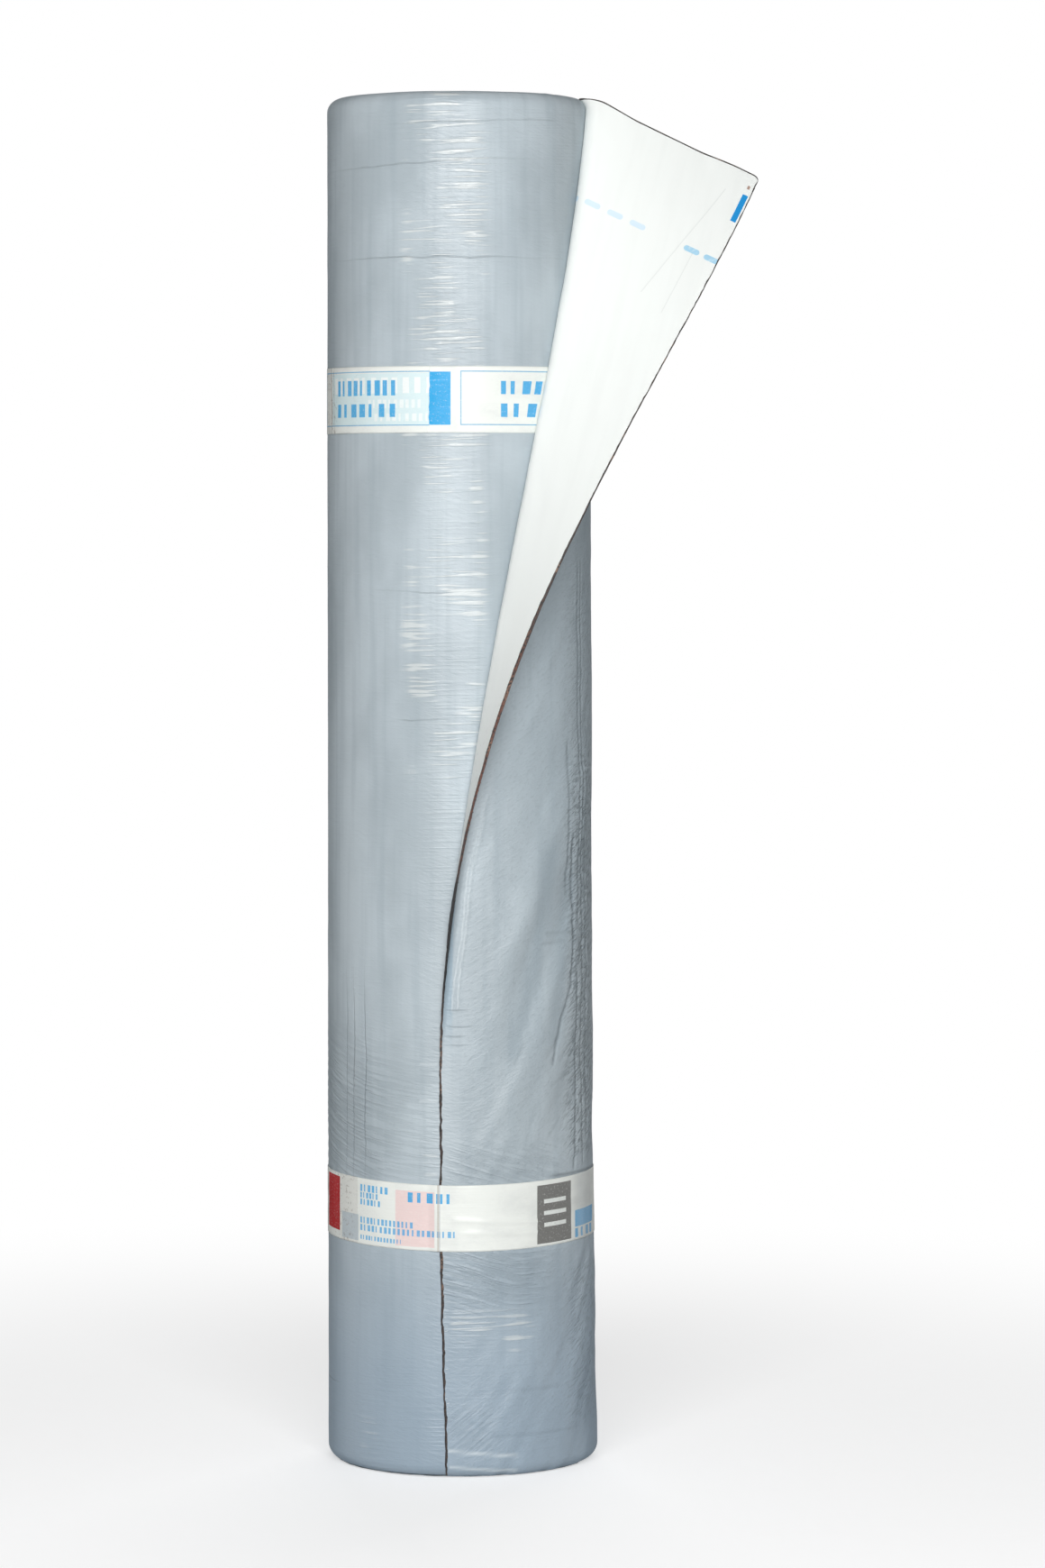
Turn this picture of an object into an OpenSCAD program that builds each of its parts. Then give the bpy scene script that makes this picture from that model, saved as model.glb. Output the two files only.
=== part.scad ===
// Roll of self-adhesive waterproofing membrane, standing on its end, with the top
// corner of its outer turn peeled back and two printed tape bands round it.
// Millimetres, +Z up. The origin is on the roll's axis, at the face it stands on;
// the front, where the sheet's free edge lies, is towards -Y.

/* [Sheet] */
// Width of the sheet, which is the length of the roll
sheet_w = 1000; // [600:10:1200]
// Length of sheet wound on the roll
sheet_len = 18700; // [12000:100:25000]
// Thickness of the sheet with its release film
sheet_t = 1.5; // [1.4:0.1:2]

/* [Roll] */
// Diameter of the open middle of the roll
bore_d = 40; // [30:1:60]
// Radius of the rounded shoulders at both ends
shoulder_r = 10; // [4:0.5:12]
// Depth of the line between two turns on the ends
turn_line_depth = 0.5; // [0.2:0.1:0.8]
// Width of the line between two turns on the ends
turn_line_w = 0.6; // [0.4:0.1:0.8]
// Angle of the free edge round the roll, measured from the front to the right
seam_angle = -8.3; // [-20:0.1:0]

/* [Peeled corner] */
// Height at which the free edge starts to lift off the roll
peel_start = 240; // [200:5:300]
// Angle round the roll from the free edge to the fold, at the top edge
peel_sweep = 89.5; // [70:0.5:95]
// The same angle as the fold line heads for half way up
peel_sweep_mid = 23.8; // [15:0.2:35]
// How late the fold line sets off from the free edge
peel_delay = 1.16; // [1:0.01:1.4]
// Lean of the fold's axis in the sheet where it starts
lean_start = 5; // [0:0.5:10]
// Lean of the fold's axis half way up
lean_mid = 6.3; // [4:0.1:12]
// Lean of the fold's axis at the top edge
lean_top = 23.4; // [18:0.1:28]
// Radius of the fold below the middle
fold_r = 7; // [6:0.5:12]
// Radius of the fold at the top edge
fold_r_top = 12; // [9:0.5:16]
// Angle that the sheet turns through in the fold where it starts
fold_start = 70; // [50:1:90]
// Angle that the sheet turns through in the fold half way up
fold_mid = 143.7; // [120:0.1:155]
// Angle that the sheet turns through in the fold at the top edge
fold_top = 107.2; // [95:0.1:120]

/* [Tape bands] */
// Width of each tape band
band_w = 48; // [30:1:75]
// Thickness of the tape
band_t = 0.4; // [0.3:0.1:0.8]
// Height of the lower band's lower edge
lower_band_z = 162; // [60:1:180]
// Height of the upper band's lower edge
upper_band_z = 753; // [560:1:800]
// Clearance between a tape band and the roll
band_gap = 0.1; // [0.1:0.05:0.3]
// Angle round the roll at which the upper band's outer end lies
tape_end_angle = -13.4; // [-40:0.1:-10]
// Angle over which the upper band lies double
tape_overlap = 68; // [20:1:90]

/* [Hidden] */
$fn = 180;

bore_r = bore_d/2;
wound_r = sqrt(bore_r*bore_r + sheet_len*sheet_t/PI);  // volume of the sheet, wound up
outer_r = wound_r + sheet_t/2;                         // right of the free edge
under_r = wound_r - sheet_t/2;                         // left of it, one turn further in
turns = floor((outer_r - bore_r)/sheet_t);

// The peeled corner's mesh
root_in = 7;             // length of sheet at the fold's root that stays inside the roll
root_t = sheet_t - 0.4;  // thickness there, so that it lies within the outer turn
root_grow = 6;           // length over which the sheet grows back to its thickness
root_tuck = 0.6;         // how far the root's top corner stays below the roll's end
first_row = 0.03;        // height of the first row, as a share of the peel's height
rows = 30;               // steps up the sheet
cols = 18;               // steps across the flap
peel_h = sheet_w - peel_start;

// Everything is drawn with the sheet's free edge on +X, and then turned to its place
module in_place() rotate([0, 0, seam_angle - 90]) children();

// A smooth run from a to c that heads for b half way
function run(a, b, c, t) = a*(1 - t)*(1 - t) + 2*b*t*(1 - t) + c*t*t;
function unit(v) = v/norm(v);
// Point at radius r, angle a round from the free edge and height z
function at(r, a, z) = [r*cos(a), r*sin(a), z];

// --- Wound roll ---------------------------------------------------------------

// Half section of the roll at outside radius r: flat ends with a line between each
// two turns, and rounded shoulders
function end_lines(r) = [for (k = [turns:-1:1])
    let (c = r - k*sheet_t)
    if (c > bore_r/2 && c < r - shoulder_r - turn_line_w)
    each [[c - turn_line_w/2, 0], [c, turn_line_depth], [c + turn_line_w/2, 0]]];
function shoulder(r) = [for (a = [0:15:90])
    [r - shoulder_r + shoulder_r*sin(a), shoulder_r - shoulder_r*cos(a)]];
function mirrored(p) = [for (i = [len(p) - 1:-1:0]) [p[i][0], sheet_w - p[i][1]]];
function section(half) = concat(half, mirrored(half));

// The turns run as a spiral: two half turns about centres half a sheet apart
module half_roll(r)
    rotate_extrude(angle = 180) polygon(section(concat([[0, 0]], end_lines(r), shoulder(r))));

module roll() difference() {
    union() {
        difference() {
            half_roll(outer_r);
            difference() {
                peel_wedge();
                under_turn();
            }
        }
        rotate([0, 0, 180]) translate([sheet_t/2, 0, 0]) half_roll(wound_r);
    }
    translate([0, 0, -1]) cylinder(r = bore_r, h = sheet_w + 2);
}

// The turn below the peeled one
module under_turn()
    rotate_extrude() polygon(section(concat([[0, 0]], shoulder(under_r))));

// --- Peeled corner ------------------------------------------------------------

function sweep(t) = run(0, peel_sweep_mid, peel_sweep, pow(t, peel_delay));
function lean(t) = run(lean_start, lean_mid, lean_top, t);
function fold_radius(t) = run(fold_r, fold_r, fold_r_top, t);
function fold_angle(t) = run(fold_start, fold_mid, fold_top, t);
function flap_w(t) = wound_r*sweep(t)*PI/180;
// How far the shoulder draws the sheet in at height z
function drawn_in(z) = z < sheet_w - shoulder_r ? 0 :
    shoulder_r - sqrt(max(0, shoulder_r*shoulder_r - pow(z - sheet_w + shoulder_r, 2)));

// Middle of the sheet at height share t, at a distance w from the fold's root
function flap_point(t, w) = let (
    a = sweep(t),
    z = peel_start + peel_h*t,
    along = [sin(a), -cos(a), 0],
    out = [cos(a), sin(a), 0],
    up = [0, 0, 1],
    axis = up*cos(lean(t)) - along*sin(lean(t)),
    side = along*cos(lean(t)) + up*sin(lean(t)),
    r = fold_radius(t),
    turned = min(w*cos(lean(t))/r, fold_angle(t)*PI/180),
    bent = turned*180/PI,
    flat = w*cos(lean(t)) - turned*r)
    w < 0 ? at(wound_r - drawn_in(z), a - w/wound_r*180/PI, z) :
    at(wound_r, a, z)
    + side*(r*sin(bent) + flat*cos(bent))
    + out*(r*(1 - cos(bent)) + flat*sin(bent) - drawn_in(z)*max(0, 1 - w/(2*shoulder_r)))
    - axis*w*sin(lean(t));

// Outward normal of the sheet, from near points. The top edge's normal is level.
function flap_normal(t, w) = let (
    e = 0.4,
    dv = flap_point(min(1, t + e/peel_h), w) - flap_point(t - e/peel_h, w),
    du = flap_point(t, w + e) - flap_point(t, w - e),
    n = cross(dv, du))
    unit(t < 1 ? n : [n[0], n[1], 0]);

// Two columns of points lie inside the roll, and the rest are closer in the fold
function col_w(t, j) = j == 0 ? -root_in : flap_w(t)*pow((j - 1)/(cols - 1), 1.5);
function row_t(i, w) = min(first_row + (1 - first_row)*i/rows, w > 0 ? 1 : 1 - root_tuck/peel_h);
function thick(w) = w <= 0 ? root_t : min(sheet_t, root_t + (sheet_t - root_t)*w/root_grow);
function flap_side(s) = [for (i = [0:rows]) for (j = [0:cols])
    let (w = col_w(row_t(i, 1), j), t = row_t(i, w))
    flap_point(t, w) + flap_normal(t, w)*s*thick(w)/2];

function flat_quad(a, b, c, d) = [[a, b, c], [a, c, d]];
module flap() {
    n = (rows + 1)*(cols + 1);
    function id(i, j, s) = s*n + i*(cols + 1) + j;
    across = [for (i = [0:rows - 1]) for (j = [0:cols - 1]) each concat(
        flat_quad(id(i, j, 0), id(i, j + 1, 0), id(i + 1, j + 1, 0), id(i + 1, j, 0)),
        flat_quad(id(i, j, 1), id(i + 1, j, 1), id(i + 1, j + 1, 1), id(i, j + 1, 1)))];
    edges = [for (i = [0:rows - 1]) each concat(
        flat_quad(id(i, 0, 0), id(i + 1, 0, 0), id(i + 1, 0, 1), id(i, 0, 1)),
        flat_quad(id(i, cols, 1), id(i + 1, cols, 1), id(i + 1, cols, 0), id(i, cols, 0)))];
    ends = [for (j = [0:cols - 1]) each concat(
        flat_quad(id(0, j, 1), id(0, j + 1, 1), id(0, j + 1, 0), id(0, j, 0)),
        flat_quad(id(rows, j, 0), id(rows, j + 1, 0), id(rows, j + 1, 1), id(rows, j, 1)))];
    polyhedron(points = concat(flap_side(1), flap_side(-1)), faces = concat(across, edges, ends));
}

// Everything between the free edge's line and the fold, above the start of the peel
module peel_wedge() {
    reach = 2*outer_r;
    clear = 4;    // past the free edge, where there is no outer turn
    last = rows + 1;
    function z_of(i) = i > rows ? sheet_w + clear : peel_start + peel_h*row_t(i, 1);
    pts = [for (i = [0:last]) let (a = sweep(row_t(i, 1))) each [
        [0, 0, z_of(i)],
        at(reach, -clear, z_of(i)),
        at(reach, (a - clear)/2, z_of(i)),
        at(reach, a, z_of(i))]];
    walls = [for (i = [0:last - 1]) for (k = [0:3])
        let (a = 4*i + k, b = 4*i + (k + 1)%4)
        each flat_quad(a + 4, b + 4, b, a)];
    top = 4*last;
    polyhedron(points = pts, faces = concat(walls,
        flat_quad(0, 1, 2, 3), flat_quad(top + 3, top + 2, top + 1, top)));
}

module membrane() color("#A9B5BC") in_place() {
    roll();
    flap();
}

// --- Tape bands ---------------------------------------------------------------

band_step = 3;    // angle between two points of a band's outline
fold_margin = 3;  // angle that the upper band's ends keep from the fold
half_t = sheet_t/2;

function flat_at(r, d) = [r*cos(d), r*sin(d)];
// Radius of the outermost turn at angle d round from the free edge, from 0 to 360
function turn_r(d) = d <= 180 ? outer_r :
    half_t*cos(d - 180) + sqrt(wound_r*wound_r - pow(half_t*sin(d - 180), 2));
function stops(a, b) = [for (k = [0:ceil((a - b)/band_step)]) max(b, a - k*band_step)];

// The lower band runs over the free edge, straight down from it to the turn below
step_angle = acos(under_r/outer_r);
function lower_r(d) = band_gap + (d > 360 - step_angle ? under_r/cos(d - 360 + step_angle) : turn_r(d));
function lower_line(above) = [for (d = stops(360, 0)) if (d < 360) flat_at(lower_r(d) + above, d)];
module lower_band() color("#EDEFF0") in_place() translate([0, 0, lower_band_z])
    linear_extrude(band_w) difference() {
        polygon(lower_line(band_t));
        polygon(lower_line(0));
    }

// The upper band starts on the turn below, under the fold, and runs round the left side
// and the back to the fold's outside. It lies double to the left of its outer end.
function fold_at(z) = sweep((z - peel_start)/peel_h);
lap_start = tape_end_angle - seam_angle;
lap_end = lap_start - tape_overlap;
band_first = fold_at(upper_band_z) - fold_margin;
band_last = fold_at(upper_band_z + band_w) + fold_margin - 360;
function upper_r(d) = band_gap + (d >= 0 ? under_r : turn_r(360 + d));
function upper_line(a, b, above) = [for (d = stops(a, b)) flat_at(upper_r(d) + above, d)];
function backwards(p) = [for (i = [len(p) - 1:-1:0]) p[i]];
module upper_band() color("#EDEFF0") in_place() translate([0, 0, upper_band_z])
    linear_extrude(band_w) polygon(concat(
        upper_line(band_first, lap_start, band_t),
        upper_line(lap_start, lap_end, 2*band_t),
        upper_line(lap_end, band_last, band_t),
        backwards(upper_line(band_first, band_last, 0))));

membrane();
upper_band();
lower_band();
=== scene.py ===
import math

import bpy
import numpy as np
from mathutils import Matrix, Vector


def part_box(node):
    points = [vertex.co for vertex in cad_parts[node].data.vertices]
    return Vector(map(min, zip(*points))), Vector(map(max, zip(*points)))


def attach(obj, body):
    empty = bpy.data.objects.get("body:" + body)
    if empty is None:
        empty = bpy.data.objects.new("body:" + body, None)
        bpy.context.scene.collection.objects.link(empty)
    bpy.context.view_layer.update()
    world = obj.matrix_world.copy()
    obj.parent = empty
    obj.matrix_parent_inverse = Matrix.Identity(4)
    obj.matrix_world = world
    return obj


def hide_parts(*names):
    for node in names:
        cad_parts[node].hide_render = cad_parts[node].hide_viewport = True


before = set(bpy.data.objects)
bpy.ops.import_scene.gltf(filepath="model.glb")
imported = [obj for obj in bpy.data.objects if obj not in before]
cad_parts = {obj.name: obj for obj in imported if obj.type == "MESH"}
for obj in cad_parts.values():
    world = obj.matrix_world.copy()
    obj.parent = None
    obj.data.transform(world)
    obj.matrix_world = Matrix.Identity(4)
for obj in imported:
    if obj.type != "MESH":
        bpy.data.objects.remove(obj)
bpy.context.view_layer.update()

# Roll of self-adhesive waterproofing membrane with a peeled corner and two tape bands.
# Lengths below are in millimetres, and become metres where a mesh is made. A place on the
# sheet is s, its distance from the free edge along the sheet, and z, its height.

MM = 0.001

# --- Sizes ----------------------------------------------------------------------

sheet_low, sheet_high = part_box("membrane")
SHEET_W = (sheet_high.z - sheet_low.z)/MM
SHEET_LEN = 18700
SHEET_T = 1.5
HALF_T = SHEET_T/2
BORE_R = 20
SHOULDER_R = 10
WOUND_R = math.sqrt(BORE_R**2 + SHEET_LEN*SHEET_T/math.pi)
OUTER_R = WOUND_R + HALF_T
UNDER_R = WOUND_R - HALF_T
TURN_LEN = 2*math.pi*WOUND_R
SEAM = -8.3          # angle of the free edge from the front, to the right
PEEL_START = 240     # height where the peeled corner begins
PEEL_H = SHEET_W - PEEL_START
# The peeled corner from its foot to its top: the angle of the fold's root from the free
# edge, and the fold's lean, its radius and the angle that it bends through
SWEEP_MID, SWEEP_TOP, SWEEP_DELAY = 26.2, 87.4, 1.2
LEAN = (-1.7, 11.8, 21.8)
FOLD_R = (5.5, 5.5, 9)
FOLD = (63.6, 126.8, 106.1)
CORNER_R = 4         # rounding of the peeled corner
TOP_WAVE = -2        # how far the peeled top edge waves
CURL = 72            # angle that the outer turn follows the shoulder through
FIRST_PART = 332     # length of sheet in the piece that holds the free edge
SECOND_PART = 466    # length in the next one, which ends under the fold
DEEPEST = 0.85       # the outer turn's relief inwards, at most: the next turn is under it
TAPE_T = 0.3
TAPE_GAP = 0.1
UPPER_CLIMB = 1.2    # how far the upper tape lies above its place in the frame
LAP = 68             # angle through which the upper tape lies double
LAP_START = -11.9 - SEAM     # angle of its outer end from the free edge


def band_heights(node):
    low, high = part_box(node)
    return low.z/MM, high.z/MM


LOWER_BAND = band_heights("lower_band")
UPPER_BAND = band_heights("upper_band")


# --- Shape of the sheet -----------------------------------------------------------

def run(ends, t):
    """A curve from the first of three numbers to the third, drawn towards the second"""
    a, b, c = ends
    return a*(1 - t)**2 + 2*b*t*(1 - t) + c*t*t


def ease(x, low, high):
    """Smooth step from 0 at low to 1 at high, which may be the smaller one"""
    t = np.clip((x - low)/(high - low), 0, 1)
    return t*t*(3 - 2*t)


def hump(x, centre, width):
    return np.exp(-((x - centre)/width)**2)


def soft_noise(x, y, seed):
    """Smooth noise from -1 to 1, with about one swell to a unit"""
    grid = np.random.default_rng(seed).uniform(-1, 1, (97, 97))
    x, y = np.broadcast_arrays(x + 31.7, y + 17.3)
    xi, yi = np.floor(x).astype(int), np.floor(y).astype(int)
    fx, fy = x - xi, y - yi
    fx, fy = fx*fx*(3 - 2*fx), fy*fy*(3 - 2*fy)
    near = grid[xi % 97, yi % 97]*(1 - fx) + grid[(xi + 1) % 97, yi % 97]*fx
    far = grid[xi % 97, (yi + 1) % 97]*(1 - fx) + grid[(xi + 1) % 97, (yi + 1) % 97]*fx
    return near*(1 - fy) + far*fy


def sweep(t):
    """Angle of the fold's root from the free edge, t of the way up the peeled corner"""
    return run((0, SWEEP_MID, SWEEP_TOP), np.power(np.clip(t, 0, 1), SWEEP_DELAY))


def fold_at(height):
    return sweep((height - PEEL_START)/PEEL_H)


def turn_mid(d):
    """Radius of the sheet's middle, d degrees in from the free edge"""
    back = np.radians(np.clip(d, 180, 360) - 180)
    return HALF_T*np.cos(back) + np.sqrt(WOUND_R**2 - (HALF_T*np.sin(back))**2) - HALF_T


def loose(d, z):
    """How far the outer turn stands off the roll: it bags out at the foot, on the right"""
    around = 0.5 - 0.5*np.cos(2*np.pi*np.clip(d/215, 0, 1))
    return around*(3.6*ease(z, 330, -20) + 0.9*ease(z, 640, 560) + 0.8*ease(z, 60, 10))


def polar(r, d, z):
    angle = np.radians(SEAM - 90 + d)
    return np.stack(np.broadcast_arrays(r*np.cos(angle), r*np.sin(angle), z), axis=-1)


def shoulders(z):
    """Height on the roll and how far in, of the sheet at height z of its own width"""
    top = np.radians(CURL)*np.clip((z - SHEET_W + SHOULDER_R)/SHOULDER_R, 0, 1)
    foot = np.radians(CURL)*np.clip((SHOULDER_R - z)/SHOULDER_R, 0, 1)
    reach = SHOULDER_R - HALF_T
    height = np.clip(z, SHOULDER_R, SHEET_W - SHOULDER_R) + reach*(np.sin(top) - np.sin(foot))
    return height, SHOULDER_R*(2 - np.cos(top) - np.cos(foot))


def sheet_mid(s, z):
    """Middle of the sheet, for arrays of distances s and heights z of one shape"""
    d = np.degrees(s/WOUND_R)
    height, drawn = shoulders(z)
    rolled = polar(turn_mid(d) + loose(d, z) - drawn, d, height)
    t = (z - PEEL_START)/PEEL_H
    fold_d = sweep(t)
    w = np.radians(fold_d)*WOUND_R - s
    lean = np.radians(run(LEAN, np.clip(t, 0, 1)))
    r = run(FOLD_R, np.clip(t, 0, 1))
    across = np.maximum(w, 0)*np.cos(lean)
    bent = np.minimum(across/r, np.radians(run(FOLD, np.clip(t, 0, 1))))
    flat = across - bent*r
    angle = np.radians(SEAM - 90 + fold_d)
    zero = np.zeros_like(angle)
    along = np.stack([np.sin(angle), -np.cos(angle), zero], axis=-1)
    out = np.stack([np.cos(angle), np.sin(angle), zero], axis=-1)
    up = np.stack([zero, zero, zero + 1], axis=-1)
    lean = lean[..., None]
    axis = up*np.cos(lean) - along*np.sin(lean)
    side = along*np.cos(lean) + up*np.sin(lean)
    near_root = np.clip(1 - w/(2*SHOULDER_R), 0, 1)
    root = polar(WOUND_R + loose(fold_d, z) - drawn*near_root, fold_d, z + (height - z)*near_root)
    peeled = (root + side*(r*np.sin(bent) + flat*np.cos(bent))[..., None]
              + out*(r*(1 - np.cos(bent)) + flat*np.sin(bent))[..., None]
              - axis*(w*np.sin(lean[..., 0]))[..., None])
    # The top edge waves a little
    peeled[..., 2] += TOP_WAVE*ease(t, 0.9, 1)*ease(w, 18, 50)*ease(w, 130, 95)
    return np.where(((t > 0) & (w > 0))[..., None], peeled, rolled)


def normals(points):
    n = np.cross(np.gradient(points, axis=1), np.gradient(points, axis=0))
    return n/np.linalg.norm(n, axis=-1, keepdims=True)


def tip_at(z):
    """Where the bitumen ends: the free edge wanders at the foot"""
    ragged = 0.3*soft_noise(z/3.1, z*0, 3) + 0.35*soft_noise(z/11, z*0, 4)
    foot = 4.8*np.clip(1 - z/190, 0, 1)**1.5 - 1.3*ease(z, 14, 0)
    corner = np.clip(z - SHEET_W + CORNER_R, 0, CORNER_R)
    corner = CORNER_R - np.sqrt(CORNER_R**2 - corner**2)
    return 0.3 + 1.0*ease(z, 520, 400) + foot + corner + ragged*(0.4 + 0.6*ease(z, 640, 480))


def facer_back(z):
    """How far the facer is drawn back from the bitumen, which is squeezed out below it"""
    ragged = 0.5*soft_noise(z/4.3, z*0, 5) + 0.35*soft_noise(z/1.9, z*0, 6)
    upper = (1.35 + ragged)*ease(z, 560, 440)*ease(z, 290, 350) + 4.3*hump(z, 402, 34)
    return 0.3 + upper + (1.5 + 1.1*ragged)*ease(z, 350, 290)


def film_back(z):
    """How far the release film is drawn back, so that the bitumen shows beside it"""
    ragged = 0.25*soft_noise(z/4.1, z*0, 7) + 0.2*soft_noise(z/1.7, z*0, 8)
    return 0.7 + 1.9*ease(z, 720, 600) + 2.8*ease(z, 500, 455) + 1.5*hump(z, 402, 34) + ragged


# --- Relief of the film -----------------------------------------------------------

# Creases of the outer turn: depth, half a width, and the places (s, z) it passes through
CREASES = (
    (0.8, 1.3, ((111, 463), (111, 391), (107, 352), (97, 329), (88, 298))),
    (0.7, 1.2, ((116, 362), (116, 236), (113, 220))),
    (0.6, 1.2, ((127, 386), (118, 370), (109, 362))),
    (0.5, 1.1, ((121, 660), (121, 560), (120, 440), (118, 400))),
    (0.6, 1.0, ((126, 660), (126, 540), (125, 430), (124, 300), (127, 222))),
    (0.5, 1.2, ((105, 530), (106, 470), (104, 420))), (0.6, 1.1, ((133, 500), (132, 400), (134, 240))),
    (0.7, 8, ((87, 450), (75, 381), (57, 308))),
    (0.5, 8, ((107, 430), (98, 380), (88, 318))),
    (0.25, 1.6, ((63, 314), (57, 300))), (0.25, 1.6, ((92, 314), (83, 304))),
    (0.3, 1.5, ((107, 313), (96, 299))), (0.3, 1.5, ((108, 291), (86, 282))),
    (0.2, 1.8, ((71, 262), (63, 240))), (0.25, 1.6, ((96, 258), (85, 245))),
    (0.3, 1.1, ((84, 392), (108, 392))), (0.3, 1.1, ((80, 385), (100, 386))),
    (0.2, 1.2, ((27, 61), (94, 63))), (0.2, 1.2, ((41, 30), (114, 30))),
    (0.35, 2.0, ((22, 41), (58, 17))), (0.25, 1.2, ((15, 30), (26, 40))))

# Ridges where the selvedge meets the film beside the fold
RIDGES = (((38, 498), (31, 476), (22, 439), (17, 392), (14, 372), (10.5, 350), (10, 338)),
          ((34, 478), (25, 440), (19.5, 392), (17, 374), (14.5, 350), (14.2, 340)))


def near_path(s, z, path, half):
    """1 on a line through the places (s, z) of a path, and 0 away from it"""
    gap = np.full(s.shape, 1e3)
    for (s0, z0), (s1, z1) in zip(path, path[1:]):
        share = ((s - s0)*(s1 - s0) + (z - z0)*(z1 - z0))/((s1 - s0)**2 + (z1 - z0)**2)
        share = np.clip(share, 0, 1)
        gap = np.minimum(gap, np.hypot(s - s0 - share*(s1 - s0), z - z0 - share*(z1 - z0)))
    return np.exp(-(gap/half)**2)


def under_bands(z):
    """1 under and near the lower band, where the film lies tight"""
    return ease(z, LOWER_BAND[0] - 8, LOWER_BAND[0] + 3)*ease(z, LOWER_BAND[1] + 12, LOWER_BAND[1] + 1)


def crinkled(s, z):
    """Where the loose turn is crushed into small crinkles, from 0 to 1"""
    upper = ease(z, 215, 240)*(0.4*ease(z, 700, 640) + 0.6*ease(z, 545, 480))
    lower = 0.5*ease(z, 20, 45)*ease(z, 160, 140)
    return (upper + lower)*ease(s, 92, 118)*ease(s, 176, 158)


def ridge_place(s, z):
    return s + 0.7*soft_noise(z/22, z*0, 15) + 0.35*soft_noise(z/5, z*0, 20)


def outer_lines(s, z):
    """Fine wrinkles right of the free edge: a number that is the same along each, in mm,
    and how strong they are. They fan out above and below the band, and at the foot."""
    below = ease(z, 108, 140)*ease(z, 167, 162)*ease(s, 1, 6)*ease(s, 110, 60)
    above = ease(z, 211, 215)*ease(z, 252, 226)*ease(s, 3, 14)*ease(s, 118, 80)
    foot = ease(z, 14, 24)*ease(z, 58, 44)*ease(s, 5, 10)*ease(s, 48, 30)
    climb = np.where(z > 190, z + 0.3*s, z + 15*ease(s, 0, 62))
    return np.where(z < 66, z - 0.85*s, climb), np.maximum(np.maximum(below, 0.8*above), 0.45*foot)


def below_lines(s, z):
    """The same for the turn below, left of the free edge and above the band"""
    left = s - TURN_LEN     # 0 at the free edge, and less to its left
    lined = ease(z, 211, 216)*ease(z, 345, 265)*ease(left, -155, -120)*ease(left, 8, 0)
    return z - 0.08*np.abs(left) - 0.0009*left**2, lined*(0.5 + 0.5*ease(left, -30, -60))


def outer_relief(s, z):
    """Relief of the loose outer turn, outwards"""
    flat = 1 - 0.65*ease(s, 138, 150)
    slack = ease(s, 20, 60)*ease(z, 560, 470)*(ease(z, 215, 240) + 0.5*ease(z, 160, 130)*ease(z, 10, 60))
    height = 2.6*soft_noise((s - 0.45*z)/25, (z + 0.45*s)/150, 11)*slack*flat
    height += 0.5*soft_noise((s - 0.6*z)/9, (z + 0.6*s)/55, 12)*ease(s, 12, 40)*flat
    height += 0.15*soft_noise(s/30, z/16, 13)
    wander_s = s + 0.9*soft_noise(z/9, s/9, 14)
    for depth, half, path in CREASES:
        height -= depth*near_path(wander_s, z, path, half)
    for path in RIDGES:
        height += 0.55*near_path(ridge_place(s, z), z, path, 0.9)
    # Crinkles between the creases
    folded = np.abs(soft_noise((z - 0.55*s)/3.8, (s + 0.55*z)/14, 18))
    height += 0.7*crinkled(s, z)*(0.35 - folded)*flat
    # Wrinkles that fan out above and below the band, and at the foot, right of the edge
    climb, lined = outer_lines(s, z)
    height += 0.3*lined*np.sin(2*np.pi*climb/7 + 1.5*soft_noise(s/25, z/20, 16))
    # It can't go deeper than the turn it lies on
    return (0.3*np.logaddexp(0, (height + DEEPEST)/0.3) - DEEPEST)*(1 - under_bands(z))


def below_relief(s, z):
    """Relief of the next turn, which is wound tight"""
    left = s - TURN_LEN
    height = 0.16*soft_noise(s/42, z/190, 51) + 0.1*soft_noise(s/26, z/15, 52)
    # Marks of the peeled edge on the right
    height -= 0.3*hump(left, 101, 1.1)*ease(z, 640, 760)
    height += 0.25*hump(left, 92, 3.2)*ease(z, 640, 760)
    climb, lined = below_lines(s, z)
    height += 0.22*lined*np.sin(2*np.pi*climb/7.5 + 2*soft_noise(s/24, z/18, 54))
    return height*(1 - under_bands(z))


def outer_marks(s, z):
    """What the facer's material asks of each point of the outer turn, from 0 to 1"""
    # How much painted shade darkens each narrow crease
    creased = np.zeros(s.shape)
    for depth, half, path in CREASES:
        if half < 2:
            creased = np.maximum(creased, depth*near_path(s + 0.9*soft_noise(z/9, s/9, 14), z, path, 1.1))
    # A painted shadow line on the film just above the lower band's top edge, on the right, where the tape
    # stands off
    band_edge_shadow = hump(z, LOWER_BAND[1] + 5.4, 1.1)*ease(s, 82, 96)
    # Pale lines that paint highlights: along the ridges by the selvedge, and the two lines at the foot
    pale = sum(near_path(ridge_place(s, z), z, path, 0.5) for path in RIDGES)*ease(z, 505, 420)
    streaks = hump(z, 104, 25)*ease(s, 3, 12)*ease(s, 84, 60) + 0.5*hump(z, 24, 18)*ease(s, 50, 70)
    lines = [near_path(s, z, path, 0.9) for path in (((8, 20), (58, 15)), ((9, 8.5), (58, 5)))]
    climb, lined = outer_lines(s, z)
    # For the facer's colour: creased carries painted shade in the narrow creases and a painted shadow line by
    # the band, pale carries painted highlights, and valley carries painted shade in the wide valleys
    return {"climb": climb*MM, "lined": lined,
            "creased": np.maximum(creased, band_edge_shadow), "pale": np.clip(0.7*pale + sum(lines), 0, 1),
            "slack": ease(s, 6, 24)*(1 - 0.6*streaks), "streaks": 0.1 + 0.6*streaks,
            "crinkled": crinkled(s, z),
            "valley": sum(near_path(s, z, path, half) for depth, half, path in CREASES if half > 2)}


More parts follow.
